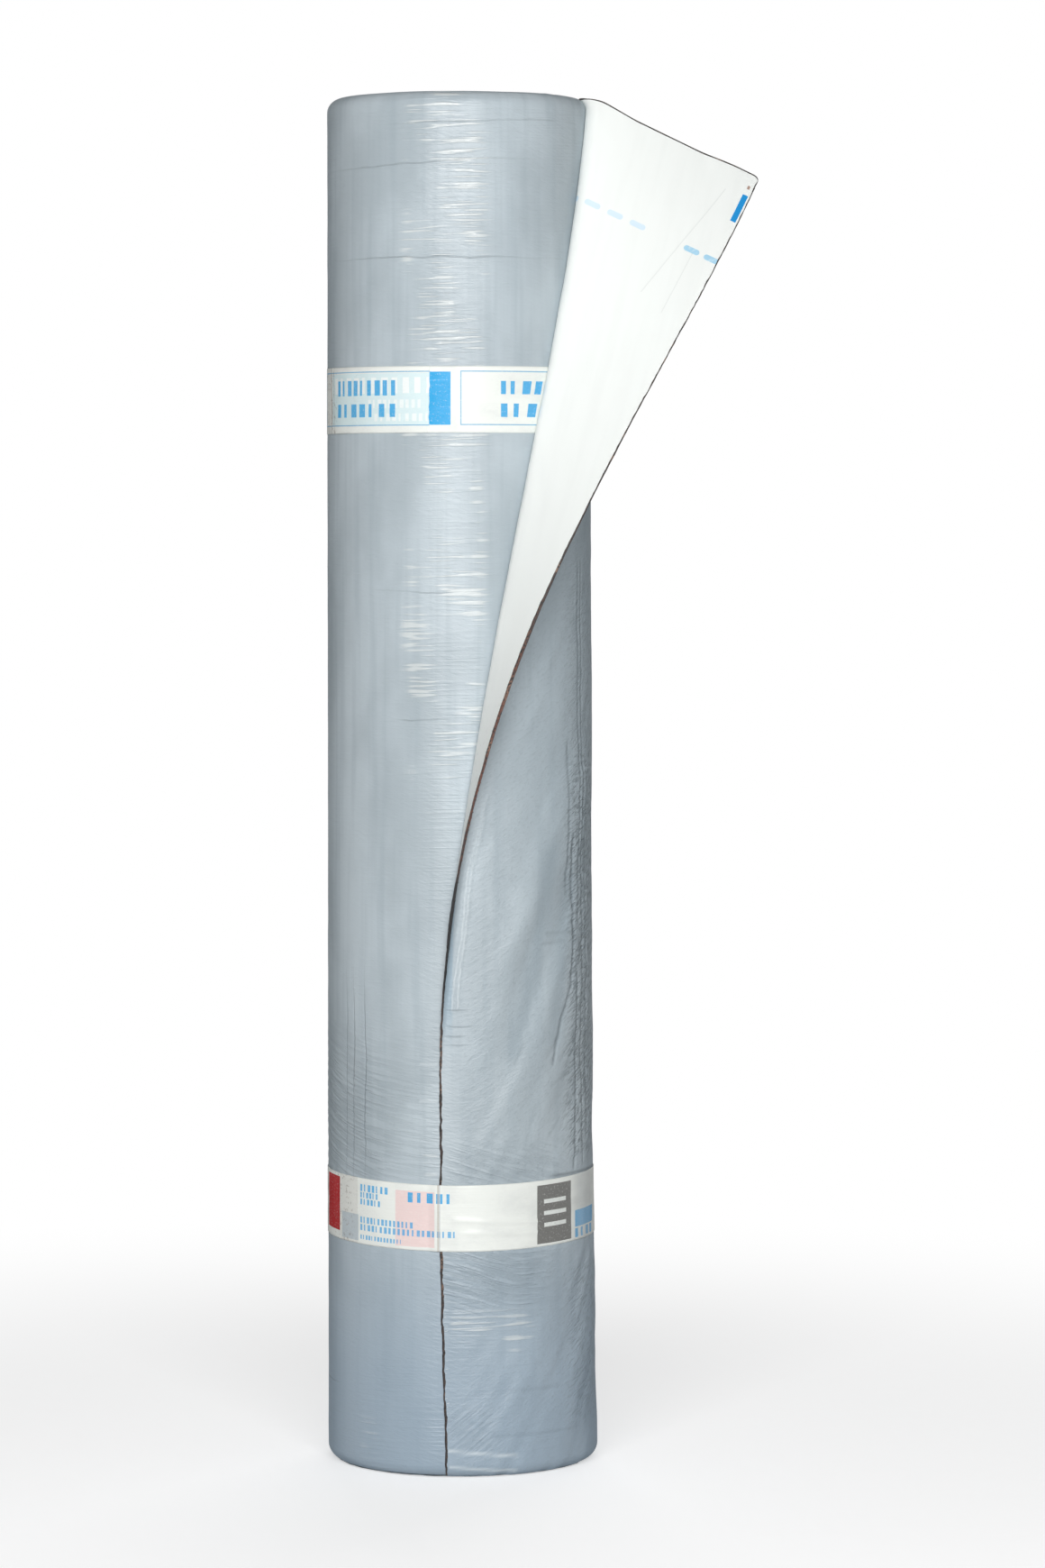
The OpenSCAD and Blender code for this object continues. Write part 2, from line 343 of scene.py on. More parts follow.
def below_marks(s, z):
    """The same for the turn below"""
    left = s - TURN_LEN
    slack = ease(s, FIRST_PART + 60, FIRST_PART)
    streaks = 0.2 + 0.1*ease(z, 400, 450) + 0.7*ease(z, 450, 560) + 0.3*hump(z, 26, 22)
    # High up, the level wrinkles keep to an upright column where the front lamp is mirrored, and the facer's
    # pale paint on their crests, a painted highlight, follows them
    column = ease(left, -34, -18)*ease(left, 44, 26)
    streaks *= 1 - 0.72*ease(z, 430, 520)*(1 - column)
    by_edge = ease(left, -16, -8)*ease(left, 1, 0)*hump(z, 228, 12)
    lines = [near_path(left, z, ((-13, level), (-1, level)), 0.8) for level in (299, 273)]
    climb, lined = below_lines(s, z)
    none = np.zeros(s.shape)
    return {"climb": climb*MM, "lined": lined, "creased": none,
            "pale": 0.55*np.clip(sum(lines), 0, 1), "slack": slack,
            "streaks": streaks*(1 - 0.9*slack) + 0.5*by_edge, "crinkled": none, "valley": none}


# --- Meshes -----------------------------------------------------------------------

def grid_ids(first, rows, columns):
    return first + np.arange(rows*columns).reshape(rows, columns)


def quads(ids):
    """Faces through a grid of vertex numbers: columns run round the roll, rows run up"""
    corners = (ids[:-1, :-1], ids[:-1, 1:], ids[1:, 1:], ids[1:, :-1])
    return np.stack(corners, axis=-1).reshape(-1, 4)


def on_map(s, z):
    """Rows of (s, z), for the map of a piece"""
    return np.stack([s, z], axis=-1).reshape(-1, 2)


def new_object(name, data):
    made = bpy.data.objects.new(name, data)
    bpy.context.scene.collection.objects.link(made)
    return made


def make_piece(name, points, uv, groups, marks=None):
    """A mesh from points in mm. groups lists (faces, material), edges between two groups
    are sharp, and marks holds numbers of the points for the materials to read."""
    faces = np.concatenate([faces for faces, material in groups])
    used, compact = np.unique(faces, return_inverse=True)
    compact = compact.reshape(faces.shape)
    mesh = bpy.data.meshes.new(name)
    mesh.from_pydata((points[used]*MM).tolist(), [], compact.tolist())
    layer = mesh.uv_layers.new(name="sheet")
    layer.data.foreach_set("uv", uv[used][compact.ravel()].astype(np.float32).ravel())
    numbers = np.concatenate([np.full(len(faces), k) for k, (faces, material) in enumerate(groups)])
    for faces, material in groups:
        mesh.materials.append(material)
    mesh.polygons.foreach_set("material_index", numbers.astype(np.int32))
    mesh.polygons.foreach_set("use_smooth", np.full(len(numbers), True))
    for key, values in (marks or {}).items():
        mark = mesh.attributes.new(key, "FLOAT", "POINT")
        mark.data.foreach_set("value", values[used].astype(np.float32))
    mark_sharp(mesh, compact, numbers)
    mesh.update()
    return new_object(name, mesh)


def mark_sharp(mesh, faces, numbers):
    """Marks the edges that lie between faces of different groups"""
    sides = np.stack([faces, np.roll(faces, -1, axis=1)], axis=-1).reshape(-1, 2)
    owner = np.repeat(numbers, faces.shape[1])
    keys = np.sort(sides, axis=1)
    keys = keys[:, 0]*(faces.max() + 1) + keys[:, 1]
    order = np.argsort(keys, kind="stable")
    same = keys[order][1:] == keys[order][:-1]
    differ = owner[order][1:] != owner[order][:-1]
    sharp_keys = set(keys[order][1:][same & differ].tolist())
    verts = np.zeros(len(mesh.edges)*2, np.int32)
    mesh.edges.foreach_get("vertices", verts)
    verts = np.sort(verts.reshape(-1, 2), axis=1).astype(np.int64)
    edge_keys = verts[:, 0]*(faces.max() + 1) + verts[:, 1]
    flags = np.array([key in sharp_keys for key in edge_keys.tolist()])
    mesh.edges.foreach_set("use_edge_sharp", flags)


def finish_piece(piece, slot, *nodes):
    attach(piece, "root")
    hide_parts(*nodes)


def steps(*parts):
    """Numbers in rising order: each part is (start, end, step)"""
    stops = [np.arange(start, end - step*0.3, step) for start, end, step in parts]
    return np.concatenate([*stops, [parts[-1][1]]])


def sheet_rows():
    """Heights of the rows: closer at the ends and where the film is creased"""
    foot = SHOULDER_R*np.linspace(0, 1, 11)[:-1]**1.5
    middle = steps((SHOULDER_R, 30, 2), (30, 60, 1.6), (60, 110, 2.6), (110, 162, 1.7), (162, 212, 4),
                   (212, 400, 1.9), (400, SHEET_W - SHOULDER_R, 3.1))
    return np.concatenate([foot, middle, SHEET_W - foot[::-1]])


# --- Colours and materials ----------------------------------------------------------

def linear(colour):
    """Linear RGBA of an sRGB colour written as hex"""
    parts = [int(colour[k:k + 2], 16)/255 for k in (1, 3, 5)]
    return [c/12.92 if c <= 0.04045 else ((c + 0.055)/1.055)**2.4 for c in parts] + [1.0]


def add(tree, kind, inputs=None, out=None, **settings):
    """Adds a node and returns an output. Inputs are given by name, or by place among
    the ones in use."""
    node = tree.nodes.new(kind)
    for key, value in settings.items():
        setattr(node, key, value)
    in_use = [socket for socket in node.inputs if socket.enabled]
    for key, value in (inputs or {}).items():
        socket = in_use[key] if isinstance(key, int) else node.inputs[key]
        if isinstance(value, bpy.types.NodeSocket):
            tree.links.new(value, socket)
        else:
            socket.default_value = value
    if out is not None:
        return node.outputs[out]
    return next((socket for socket in node.outputs if socket.enabled), node)


MATH, RANGE, MIX = "ShaderNodeMath", "ShaderNodeMapRange", "ShaderNodeMix"
TIMES, PLUS, PLUS_TIMES = {"operation": "MULTIPLY"}, {"operation": "ADD"}, {"operation": "MULTIPLY_ADD"}
MINUS, LARGER = {"operation": "SUBTRACT"}, {"operation": "MAXIMUM"}
SMOOTH, RGBA = {"interpolation_type": "SMOOTHSTEP"}, {"data_type": "RGBA"}


def new_material(name):
    material = bpy.data.materials.new(name)
    material.use_nodes = True
    tree = material.node_tree
    tree.nodes.clear()
    return material, tree


def finish_material(tree, inputs, bumps):
    """The material's shader, with its constants on its own sockets. Each bump is (height
    from 0 to 1, the depth in mm that it stands for)."""
    for height, depth in bumps:
        given = {"Height": height, "Distance": depth*MM, "Strength": 1.0}
        if "Normal" in inputs:
            given["Normal"] = inputs["Normal"]
        inputs = {**inputs, "Normal": add(tree, "ShaderNodeBump", given)}
    shader = add(tree, "ShaderNodeBsdfPrincipled", inputs)
    add(tree, "ShaderNodeOutputMaterial", {"Surface": shader})


def painted(tree, colour, layers):
    """Lays colours over a first one. Each layer is (hex colour, strength, masks), and a
    mask is a node's output, or (output, value where the mask is 0, value where it is 1)."""
    for ink, strength, *masks in layers:
        share, *others = [
            add(tree, RANGE, dict(enumerate(mask)), **SMOOTH) if isinstance(mask, tuple) else mask
            for mask in masks]
        for factor in (*others, strength):
            share = add(tree, MATH, {0: share, 1: factor}, **TIMES)
        colour = add(tree, MIX, {0: share, 1: colour, 2: linear(ink)}, **RGBA)
    return colour


def rough_at_grazing(tree, gloss, first):
    """Roughness that grows where a surface is seen at a flat angle"""
    facing = add(tree, "ShaderNodeLayerWeight", {"Blend": 0.5}, out="Facing")
    grazing = add(tree, RANGE, {0: facing, 1: first, 2: 0.8, 3: 0.0, 4: 0.6}, **SMOOTH)
    return add(tree, MATH, {0: gloss, 1: grazing}, **PLUS)


def sheet_place(tree):
    """Distance from the free edge and height, in metres, from the piece's own map"""
    place = add(tree, "ShaderNodeUVMap", uv_map="sheet")
    parts = add(tree, "ShaderNodeSeparateXYZ", {0: place}).node
    return place, parts.outputs[0], parts.outputs[1]


def stretched_noise(tree, place, across, along, turn=0.0, detail=3.0, rough=0.55):
    """Noise whose grain is across mm wide and along mm high, turned on the sheet"""
    turned = add(tree, "ShaderNodeMapping", {"Vector": place, "Rotation": (0, 0, math.radians(turn))},
                 vector_type="TEXTURE")
    scaled = add(tree, "ShaderNodeVectorMath", {0: turned, 1: (1/(across*MM), 1/(along*MM), 0)},
                 operation="MULTIPLY")
    return add(tree, "ShaderNodeTexNoise", {"Vector": scaled, "Scale": 1.0, "Detail": detail,
                                            "Roughness": rough}, noise_dimensions="2D")


def near_line(tree, value, centre, half):
    """1 on a line and 0 from half a width away"""
    gap = add(tree, MATH, {0: value, 1: centre}, **MINUS)
    gap = add(tree, MATH, {0: gap}, operation="ABSOLUTE")
    return add(tree, RANGE, {0: gap, 1: half*0.25, 2: half, 3: 1.0, 4: 0.0}, **SMOOTH)


def handling_creases(tree, s, z, bend):
    """Sharp level creases: (height, slope, first s, last s), in mm from the end of the turn"""
    creases = ((978, 0.028, -56, 124), (948.3, 0.041, -124, 90), (880.5, 0.0, -124, 120),
               (640, -0.03, -60, 20), (548, 0.015, -40, 14), (60, 0.03, -140, -90),
               (339, 0.02, -606, -580), (327, 0.0, -605, -577), (320, 0.03, -606, -583),
               (313.5, 0.01, -606, -579))
    found = 0.0
    for height, slope, start, end in creases:
        middle = TURN_LEN + (start + end)/2
        drift = add(tree, MATH, {0: s, 1: -slope, 2: middle*slope*MM}, **PLUS_TIMES)
        raised = add(tree, MATH, {0: z, 1: drift}, **PLUS)
        wobble = add(tree, MATH, {0: bend, 1: 4*MM, 2: (height - 2)*MM}, **PLUS_TIMES)
        line = near_line(tree, raised, wobble, 0.7*MM)
        reach = near_line(tree, s, middle*MM, (end - start)/2*MM)
        line = add(tree, MATH, {0: line, 1: reach}, **TIMES)
        found = add(tree, MATH, {0: found, 1: line}, **LARGER)
    return found


def facer_material():
    """Cross-laminated polyethylene film, calendered onto the bitumen: a cool grey film
    with a satin gloss, drawn into fine level wrinkles where it is wound tight, and slack
    with a slanting grain, crinkles and creases on the outer turn. Painted shade darkens
    the creases, valleys and hollows, and painted highlights lighten ridge lines and crests."""
    material, tree = new_material("facer_polyethylene_film")
    place, s, z = sheet_place(tree)
    streaks, slack, crushed, creased, pale, climb, lined, valley_shade = [
        add(tree, "ShaderNodeAttribute", out="Fac", attribute_name=name, attribute_type="GEOMETRY")
        for name in ("streaks", "slack", "crinkled", "creased", "pale", "climb", "lined", "valley")]

    level = stretched_noise(tree, place, 44, 2.3, turn=1, detail=1.0)
    level_long = stretched_noise(tree, place, 110, 8, turn=1.5, detail=2.0)
    grain = stretched_noise(tree, place, 4.2, 1.7, turn=32, detail=3.0, rough=0.6)
    folds = stretched_noise(tree, place, 30, 6, turn=27, detail=1.0)
    left_grain = stretched_noise(tree, place, 12, 2.2, turn=-17, detail=2.0)
    ripple = stretched_noise(tree, place, 9, 1.5, turn=28, detail=2.0)
    peel = stretched_noise(tree, place, 3.4, 2.6, detail=2.0, rough=0.6)
    upright = stretched_noise(tree, place, 9, 190, detail=2.0)
    cloud = stretched_noise(tree, place, 70, 110, detail=3.0)
    patch = stretched_noise(tree, place, 45, 60, turn=20, detail=2.0)

    # The level wrinkles stand apart: only the highest parts of their pattern show
    level = add(tree, RANGE, {0: level, 1: 0.42, 2: 0.7}, **SMOOTH)
    valley = add(tree, RANGE, {0: ripple, 1: 0.3, 2: 0.55}, **SMOOTH)

    # Wrinkles that fan out beside the free edge, and three upright lines left of it
    on_lines = add(tree, "ShaderNodeCombineXYZ", {0: s, 1: climb})
    lines = stretched_noise(tree, on_lines, 36, 2.6, detail=2.0)
    lines = add(tree, RANGE, {0: lines, 1: 0.42, 2: 0.62}, **SMOOTH)
    # Where the fanned wrinkles are low, for painted shade between them
    hollow_shade = add(tree, MATH, {0: 1.0, 1: lines}, **MINUS)
    hollow_shade = add(tree, MATH, {0: hollow_shade, 1: lined}, **TIMES)
    bent = add(tree, MATH, {0: patch, 1: 4*MM, 2: s}, **PLUS_TIMES)
    within = near_line(tree, z, 0.285, 0.1)
    # The three upright lines are grooves in the bump, and the colour darkens them with painted shade
    drawn_lines = 0.0
    for left in (-82.5, -73.5, -61):
        line = near_line(tree, bent, (TURN_LEN + left + 2)*MM, 0.8*MM)
        line = add(tree, MATH, {0: line, 1: within}, **TIMES)
        drawn_lines = add(tree, MATH, {0: drawn_lines, 1: line}, **LARGER)

    # Each share of the height is (pattern, where, how much)
    patchy = add(tree, RANGE, {0: patch, 1: 0.35, 2: 0.62, 3: 0.3, 4: 1.0}, **SMOOTH)
    tight = add(tree, MATH, {0: streaks, 1: patchy}, **TIMES)
    plain = add(tree, MATH, {0: 1.0, 1: slack}, **MINUS)
    height = add(tree, MATH, {0: level_long, 1: 0.2}, **TIMES)
    for pattern, where, much in ((peel, plain, 0.2), (level, tight, 0.6), (level_long, streaks, 0.25),
                                 (grain, slack, 0.5), (folds, slack, 0.5), (left_grain, plain, 0.32),
                                 (valley, crushed, 1.1), (lines, lined, 0.6), (drawn_lines, plain, -0.4)):
        where = add(tree, MATH, {0: where, 1: much}, **TIMES)
        height = add(tree, MATH, {0: pattern, 1: where, 2: height}, **PLUS_TIMES)

    # Pale paint on the crests of the level wrinkles, a painted highlight; the same mask makes them glossier
    crest_highlight_and_gloss = add(tree, MATH, {0: level, 1: tight}, **TIMES)
    crest_highlight_and_gloss = add(tree, RANGE, {0: crest_highlight_and_gloss, 1: 0.3, 2: 0.75}, **SMOOTH)
    # The sharp creases are dents, and the colour darkens them with painted shade
    sharp = handling_creases(tree, s, z, patch)
    broken = add(tree, RANGE, {0: level_long, 1: 0.3, 2: 0.55, 3: 0.35, 4: 1.0}, **SMOOTH)
    sharp = add(tree, MATH, {0: sharp, 1: broken}, **TIMES)
    dent = add(tree, MATH, {0: sharp, 1: -1.0, 2: 1.0}, **PLUS_TIMES)

    # Colour: grey clouds, upright streaks, bluer at the foot, darker on the selvedge and darker high
    # up on the right, partly the film's tone and partly painted shade of the peeled flap, with a dull
    # grain; painted shade in the crinkles' hollows, the wide valleys, between the fanned wrinkles, on
    # the upright lines and in the creases, a painted shadow line above the lower band, and painted
    # highlights on the pale ridge lines and the wrinkles' crests
    clouds = add(tree, RANGE, {0: cloud, 1: 0.3, 2: 0.7}, **SMOOTH)
    colour = add(tree, MIX, {0: clouds, 1: linear("#a8b3b9"), 2: linear("#b8c3c9")}, **RGBA)
    colour = painted(tree, colour, (
        ("#98a5ad", 0.35, (upright, 0.4, 0.8)), ("#90a3b4", 0.7, (z, 0.26, 0.03)),
        # Darker high up on the slack right: partly the film's tone, partly painted shade of the peeled flap
        ("#98a6ae", 0.5, (z, 0.3, 0.5), slack, (s, 0.03, 0.1)),
        ("#8fa5b3", 0.7, (s, 0.0115, 0.0095), (z, 0.3, 0.35)),
        # A dull grain, then painted shade in the hollows of the crinkles, where the ripple pattern is low
        ("#7d878c", 0.18, (grain, 0.55, 0.7), slack), ("#59646a", 0.5, (ripple, 0.46, 0.34), crushed),
        # Painted shade: in the wide valleys, in the hollows between the fanned wrinkles, and on the three
        # upright grooves
        ("#8a99a2", 0.4, valley_shade), ("#78858d", 0.28, hollow_shade), ("#626e76", 0.5, drawn_lines),
        # Painted highlights on the pale lines and the wrinkle crests; painted shade in the creases, with the
        # band's painted shadow line, and on the sharp creases
        ("#dbe3e6", 0.6, pale), ("#e4e7e4", 0.5, crest_highlight_and_gloss), ("#40494f", 0.6, creased), ("#7c868b", 0.35, sharp)))

    # The film is rougher where it is slack, and smoother on the crests
    gloss = add(tree, RANGE, {0: cloud, 1: 0.2, 2: 0.8, 3: 0.29, 4: 0.33}, **SMOOTH)
    for mask, much in ((slack, 0.08), (crest_highlight_and_gloss, -0.12)):
        gloss = add(tree, MATH, {0: mask, 1: much, 2: gloss}, **PLUS_TIMES)
    gloss = rough_at_grazing(tree, gloss, 0.35)
    finish_material(tree, {"Base Color": colour, "Roughness": gloss, "IOR": 1.5, "Specular IOR Level": 0.45},
                    ((height, 0.62), (dent, 0.3)))
    return material


def dashes(tree, s, z, middle, pitch, start, end):
    """A row of printed dashes with round ends, as a mask: middle is the middle of one"""
    straight, round_r, row_z = 4*MM, 2*MM, 924.8*MM
    place = add(tree, MATH, {0: s, 1: middle*MM}, **MINUS)
    place = add(tree, MATH, {0: place, 1: pitch/2*MM, 2: -pitch/2*MM}, operation="WRAP")
    place = add(tree, MATH, {0: place}, operation="ABSOLUTE")
    place = add(tree, MATH, {0: place, 1: straight}, **MINUS)
    place = add(tree, MATH, {0: place, 1: 0.0}, **LARGER)
    level = add(tree, MATH, {0: z, 1: row_z}, **MINUS)
    gap = add(tree, "ShaderNodeCombineXYZ", {0: place, 1: level})
    gap = add(tree, "ShaderNodeVectorMath", {0: gap}, out="Value", operation="LENGTH")
    dash = add(tree, RANGE, {0: gap, 1: round_r + 0.3*MM, 2: round_r}, **SMOOTH)
    within = block(tree, s, z, start, end, 920, 930)
    return add(tree, MATH, {0: dash, 1: within}, **TIMES)


def release_material():
    """Siliconised release film, white polyethylene: smooth with a low sheen and faint
    flow lines, and printed with a row of pale dashes and one bar."""
    material, tree = new_material("release_film_white")
    place, s, z = sheet_place(tree)
    flow = stretched_noise(tree, place, 9, 120, turn=-12, detail=2.0)
    grain = stretched_noise(tree, place, 2.5, 7, turn=25, detail=2.0)
    shade = add(tree, RANGE, {0: flow, 1: 0.4, 2: 0.75}, **SMOOTH)
    rubbed = add(tree, RANGE, {0: grain, 1: 0.25, 2: 0.5, 3: 0.6, 4: 1.0}, **SMOOTH)

    # Two faint lines that the edge of the next sheet left
    slope = 0.212
    sloped = add(tree, MATH, {0: z, 1: slope, 2: s}, **PLUS_TIMES)
    first_line = near_line(tree, sloped, (20 + slope*978)*MM, 0.7*MM)
    second_line = near_line(tree, s, 20*MM, 0.6*MM)
    far_dashes = dashes(tree, s, z, 84, 18.4, 58, 150)
    near_dashes = dashes(tree, s, z, 21.6, 16.2, 0, 30)
    colour = add(tree, MIX, {0: shade, 1: linear("#f2f5f2"), 2: linear("#f0f3f0")}, **RGBA)
    colour = painted(tree, colour, (
        ("#c6cac6", 0.3, (grain, 0.62, 0.76), (z, 0.62, 0.48)),
        ("#c9cecb", 0.3, first_line, block(tree, s, z, 15, 50, 880, 980)),
        ("#c9cecb", 0.3, second_line, block(tree, s, z, 15, 25, 872, 924)),
        ("#cfe6f5", 0.8, far_dashes), ("#8cc9e8", 0.8, near_dashes, rubbed),
        ("#1b8fd2", 1.0, block(tree, s, z, 2.2, 6.4, 958.6, 982)),
        ("#9a6a50", 0.8, block(tree, s, z, 3.6, 5.6, 987, 990))))
    finish_material(tree, {"Base Color": colour, "Roughness": 0.5, "IOR": 1.45, "Specular IOR Level": 0.4},
                    ((flow, 0.012), (grain, 0.04)))
    return material


def bitumen_material():
    """Rubberised bitumen, cut at the sheet's edge: reddish brown where dust sticks to it,
    black elsewhere, and blacker on the squeezed-out bead low on the peeled edge, a painted
    shadow where the lifted edge stands off the turn below; tacky and dull, with tan crumbs."""
    material, tree = new_material("bitumen_compound")
    place = add(tree, "ShaderNodeTexCoord", out="Object")
    z = add(tree, "ShaderNodeSeparateXYZ", {0: place}, out="Z")
    torn = add(tree, "ShaderNodeTexNoise", {"Vector": place, "Scale": 620.0, "Detail": 4.0})
    broad = add(tree, "ShaderNodeTexNoise", {"Vector": place, "Scale": 60.0, "Detail": 2.0})
    brown = add(tree, RANGE, {0: torn, 1: 0.4, 2: 0.6}, **SMOOTH)
    colour = add(tree, MIX, {0: brown, 1: linear("#1d1b1b"), 2: linear("#423631")}, **RGBA)
    colour = painted(tree, colour, (("#7a4f41", 0.75, near_line(tree, z, 0.53, 0.12), brown),
                                    ("#8d7262", 0.7, (broad, 0.52, 0.66), brown),
                                    # Painted shadow: a black band where the lifted edge stands off the turn
                                    # below
                                    ("#0d0e0f", 0.95, (near_line(tree, z, 0.392, 0.056), 0.0, 0.5))))
    gloss = add(tree, RANGE, {0: torn, 1: 0.35, 2: 0.65, 3: 0.5, 4: 0.7}, **SMOOTH)
    finish_material(tree, {"Base Color": colour, "Roughness": gloss, "IOR": 1.5}, ((torn, 0.5),))
    return material


def thread_material():
    """Polyethylene pulled into short threads where the film tore: milky white, a little
    glossy, greyer in places."""
    material, tree = new_material("polyethylene_threads")
    place = add(tree, "ShaderNodeTexCoord", out="Object")
    cloud = add(tree, "ShaderNodeTexNoise", {"Vector": place, "Scale": 260.0, "Detail": 2.0})
    grey = add(tree, RANGE, {0: cloud, 1: 0.4, 2: 0.65}, **SMOOTH)
    colour = add(tree, MIX, {0: grey, 1: linear("#f1f2ef"), 2: linear("#b9c2c6")}, **RGBA)
    finish_material(tree, {"Base Color": colour, "Roughness": 0.35, "IOR": 1.5}, ((cloud, 0.1),))
    return material


def turn_edge_material():
    """Cut edges of the wound sheet: a black core of bitumen between the pale edges of
    its two films, dusty on the crests."""
    material, tree = new_material("sheet_edge_layers")
    across = add(tree, "ShaderNodeAttribute", out="Fac", attribute_name="across", attribute_type="GEOMETRY")
    place = add(tree, "ShaderNodeTexCoord", out="Object")
    torn = add(tree, "ShaderNodeTexNoise", {"Vector": place, "Scale": 300.0, "Detail": 4.0})
    cloud = add(tree, "ShaderNodeTexNoise", {"Vector": place, "Scale": 22.0, "Detail": 2.0})
    crests = add(tree, RANGE, {0: torn, 1: 0.45, 2: 0.7}, **SMOOTH)
    colour = add(tree, MIX, {0: crests, 1: linear("#232323"), 2: linear("#4b4744")}, **RGBA)
    colour = painted(tree, colour, (("#6b6a67", 0.4, (cloud, 0.45, 0.7)),
                                    ("#98a2a8", 1.0, (across, 0.16, 0.1)),
                                    ("#d4d6d4", 1.0, (across, 0.86, 0.93))))
    gloss = add(tree, RANGE, {0: torn, 1: 0.35, 2: 0.65, 3: 0.45, 4: 0.65}, **SMOOTH)
    finish_material(tree, {"Base Color": colour, "Roughness": gloss, "IOR": 1.5}, ((torn, 0.3),))
    return material


# --- Printed tape -------------------------------------------------------------------

# Each print is (colour, kind, left, right, low, high, pitch or line, strength), in mm
# round the roll and up the tape: a block, a frame, or a plain row of upright ticks
BLUE = "#1fa2dc"
PALE_BLUE = "#d5eaed"
PALE = "#f2f6f4"
SKY = "#84b5d4"


def block(tree, u, v, left, right, low, high):
    """1 inside a rectangle of the print, given in mm round the roll and up the tape"""
    sides = add(tree, MATH, {0: u, 1: (left + right)/2*MM, 2: (right - left)/2*MM}, operation="COMPARE")
    ends = add(tree, MATH, {0: v, 1: (low + high)/2*MM, 2: (high - low)/2*MM}, operation="COMPARE")
    return add(tree, MATH, {0: sides, 1: ends}, **TIMES)


def printed_shape(tree, u, v, kind, left, right, low, high, size):
    """Mask of a block, of a frame with lines of a size, or of ticks at a size's pitch"""
    shape = block(tree, u, v, left, right, low, high)
    if kind == "frame":
        inside = block(tree, u, v, left + size, right - size, low + size, high - size)
        return add(tree, MATH, {0: shape, 1: inside}, **MINUS)
    if kind == "ticks":
        place = add(tree, MATH, {0: u, 1: left*MM}, **MINUS)
        number = add(tree, MATH, {0: place, 1: size*MM}, operation="DIVIDE")
        number = add(tree, MATH, {0: number}, operation="FLOOR")
        width = add(tree, "ShaderNodeTexWhiteNoise", {"W": number}, noise_dimensions="1D")
        width = add(tree, MATH, {0: width, 1: 0.4*size*MM, 2: 0.3*size*MM}, **PLUS_TIMES)
        place = add(tree, MATH, {0: place, 1: size*MM}, operation="MODULO")
        tick = add(tree, MATH, {0: place, 1: width}, operation="LESS_THAN")
        return add(tree, MATH, {0: shape, 1: tick}, **TIMES)
    return shape


def first_layer_prints():
    return [(BLUE, "block", -24, -4.6, 5.7, 43.9, 0, 1.0), (SKY, "frame", 2.4, 140, 5.5, 44.6, 0.8, 1.0),
            (BLUE, "ticks", 32, 110, 27.8, 37.3, 7.2, 0.9), (BLUE, "ticks", 32, 110, 11.4, 21.1, 9.4, 0.9)]


def second_layer_prints():
    # The print of the layer beneath shows through
    prints = [(PALE_BLUE, "block", -118, -18, 5.7, 43, 0, 0.85), (PALE, "ticks", -112, -20, 28.5, 40, 9, 0.9),
              (PALE, "ticks", -70, -24, 18, 24, 4.6, 0.7), (PALE, "ticks", -64, -21, 8.5, 14, 5.2, 0.7)]
    for start in (-137, -287, -437, -587):
        prints += [(SKY, "frame", start, start + 127, 5.2, 44.5, 0.8, 1.0),
                   (BLUE, "ticks", start + 30, start + 91, 27, 38, 7.2, 0.9),
                   (BLUE, "ticks", start + 30, start + 91, 11.5, 21, 9.4, 0.9),
                   (BLUE, "block", start - 23, start - 7, 5.7, 43.9, 0, 1.0)]
    return prints


def lower_prints():
    small = [(BLUE, "ticks", -79, right, low, high, pitch, strength)
             for right, low, high, pitch, strength in (
                 (-51.7, 38.5, 43.6, 3.9, 0.85), (-60.4, 33.8, 37.9, 3.1, 0.85), (-58, 28.8, 33, 3.5, 0.85),
                 (-32, 15.5, 20, 3.4, 0.8), (0, 10, 14.5, 3.8, 0.8), (-42, 3.6, 6.8, 2.8, 0.8))]
    bars = [("#e4e8e4", "block", 66, 88, low, low + 3, 0, 1.0) for low in (31, 22.5, 14)]
    once = [("#ab1219", "block", -134, -105.7, 6, 45.5, 0, 1.0),
            ("#d6d6d0", "block", -104, -82, 0, 48, 0, 0.6),
            ("#a8b7c1", "block", -102.5, -81.2, 2, 21, 0, 0.7),
            ("#ebd5d2", "block", -46.4, -16.2, 2.5, 42.8, 0, 1.0), *small,
            (BLUE, "ticks", -36.5, -1.2, 34.5, 41.7, 7.2, 0.9),
            ("#b7b1a6", "block", -14.1, -12.9, 0, 48, 0, 0.7),
            ("#c4c8c8", "block", -12.9, -12.1, 0, 48, 0, 0.7),
            ("#757572", "block", 60, 94, 2, 44.5, 0, 1.0), *bars,
            (BLUE, "block", 99, 132, 9.6, 21.7, 0, 0.9),
            (BLUE, "ticks", 99, 132, 1.9, 8.5, 8.4, 0.9)]
    return [(ink, kind, start + left, start + right, *rest)
            for start in (0, 301, 602) for ink, kind, left, right, *rest in once]


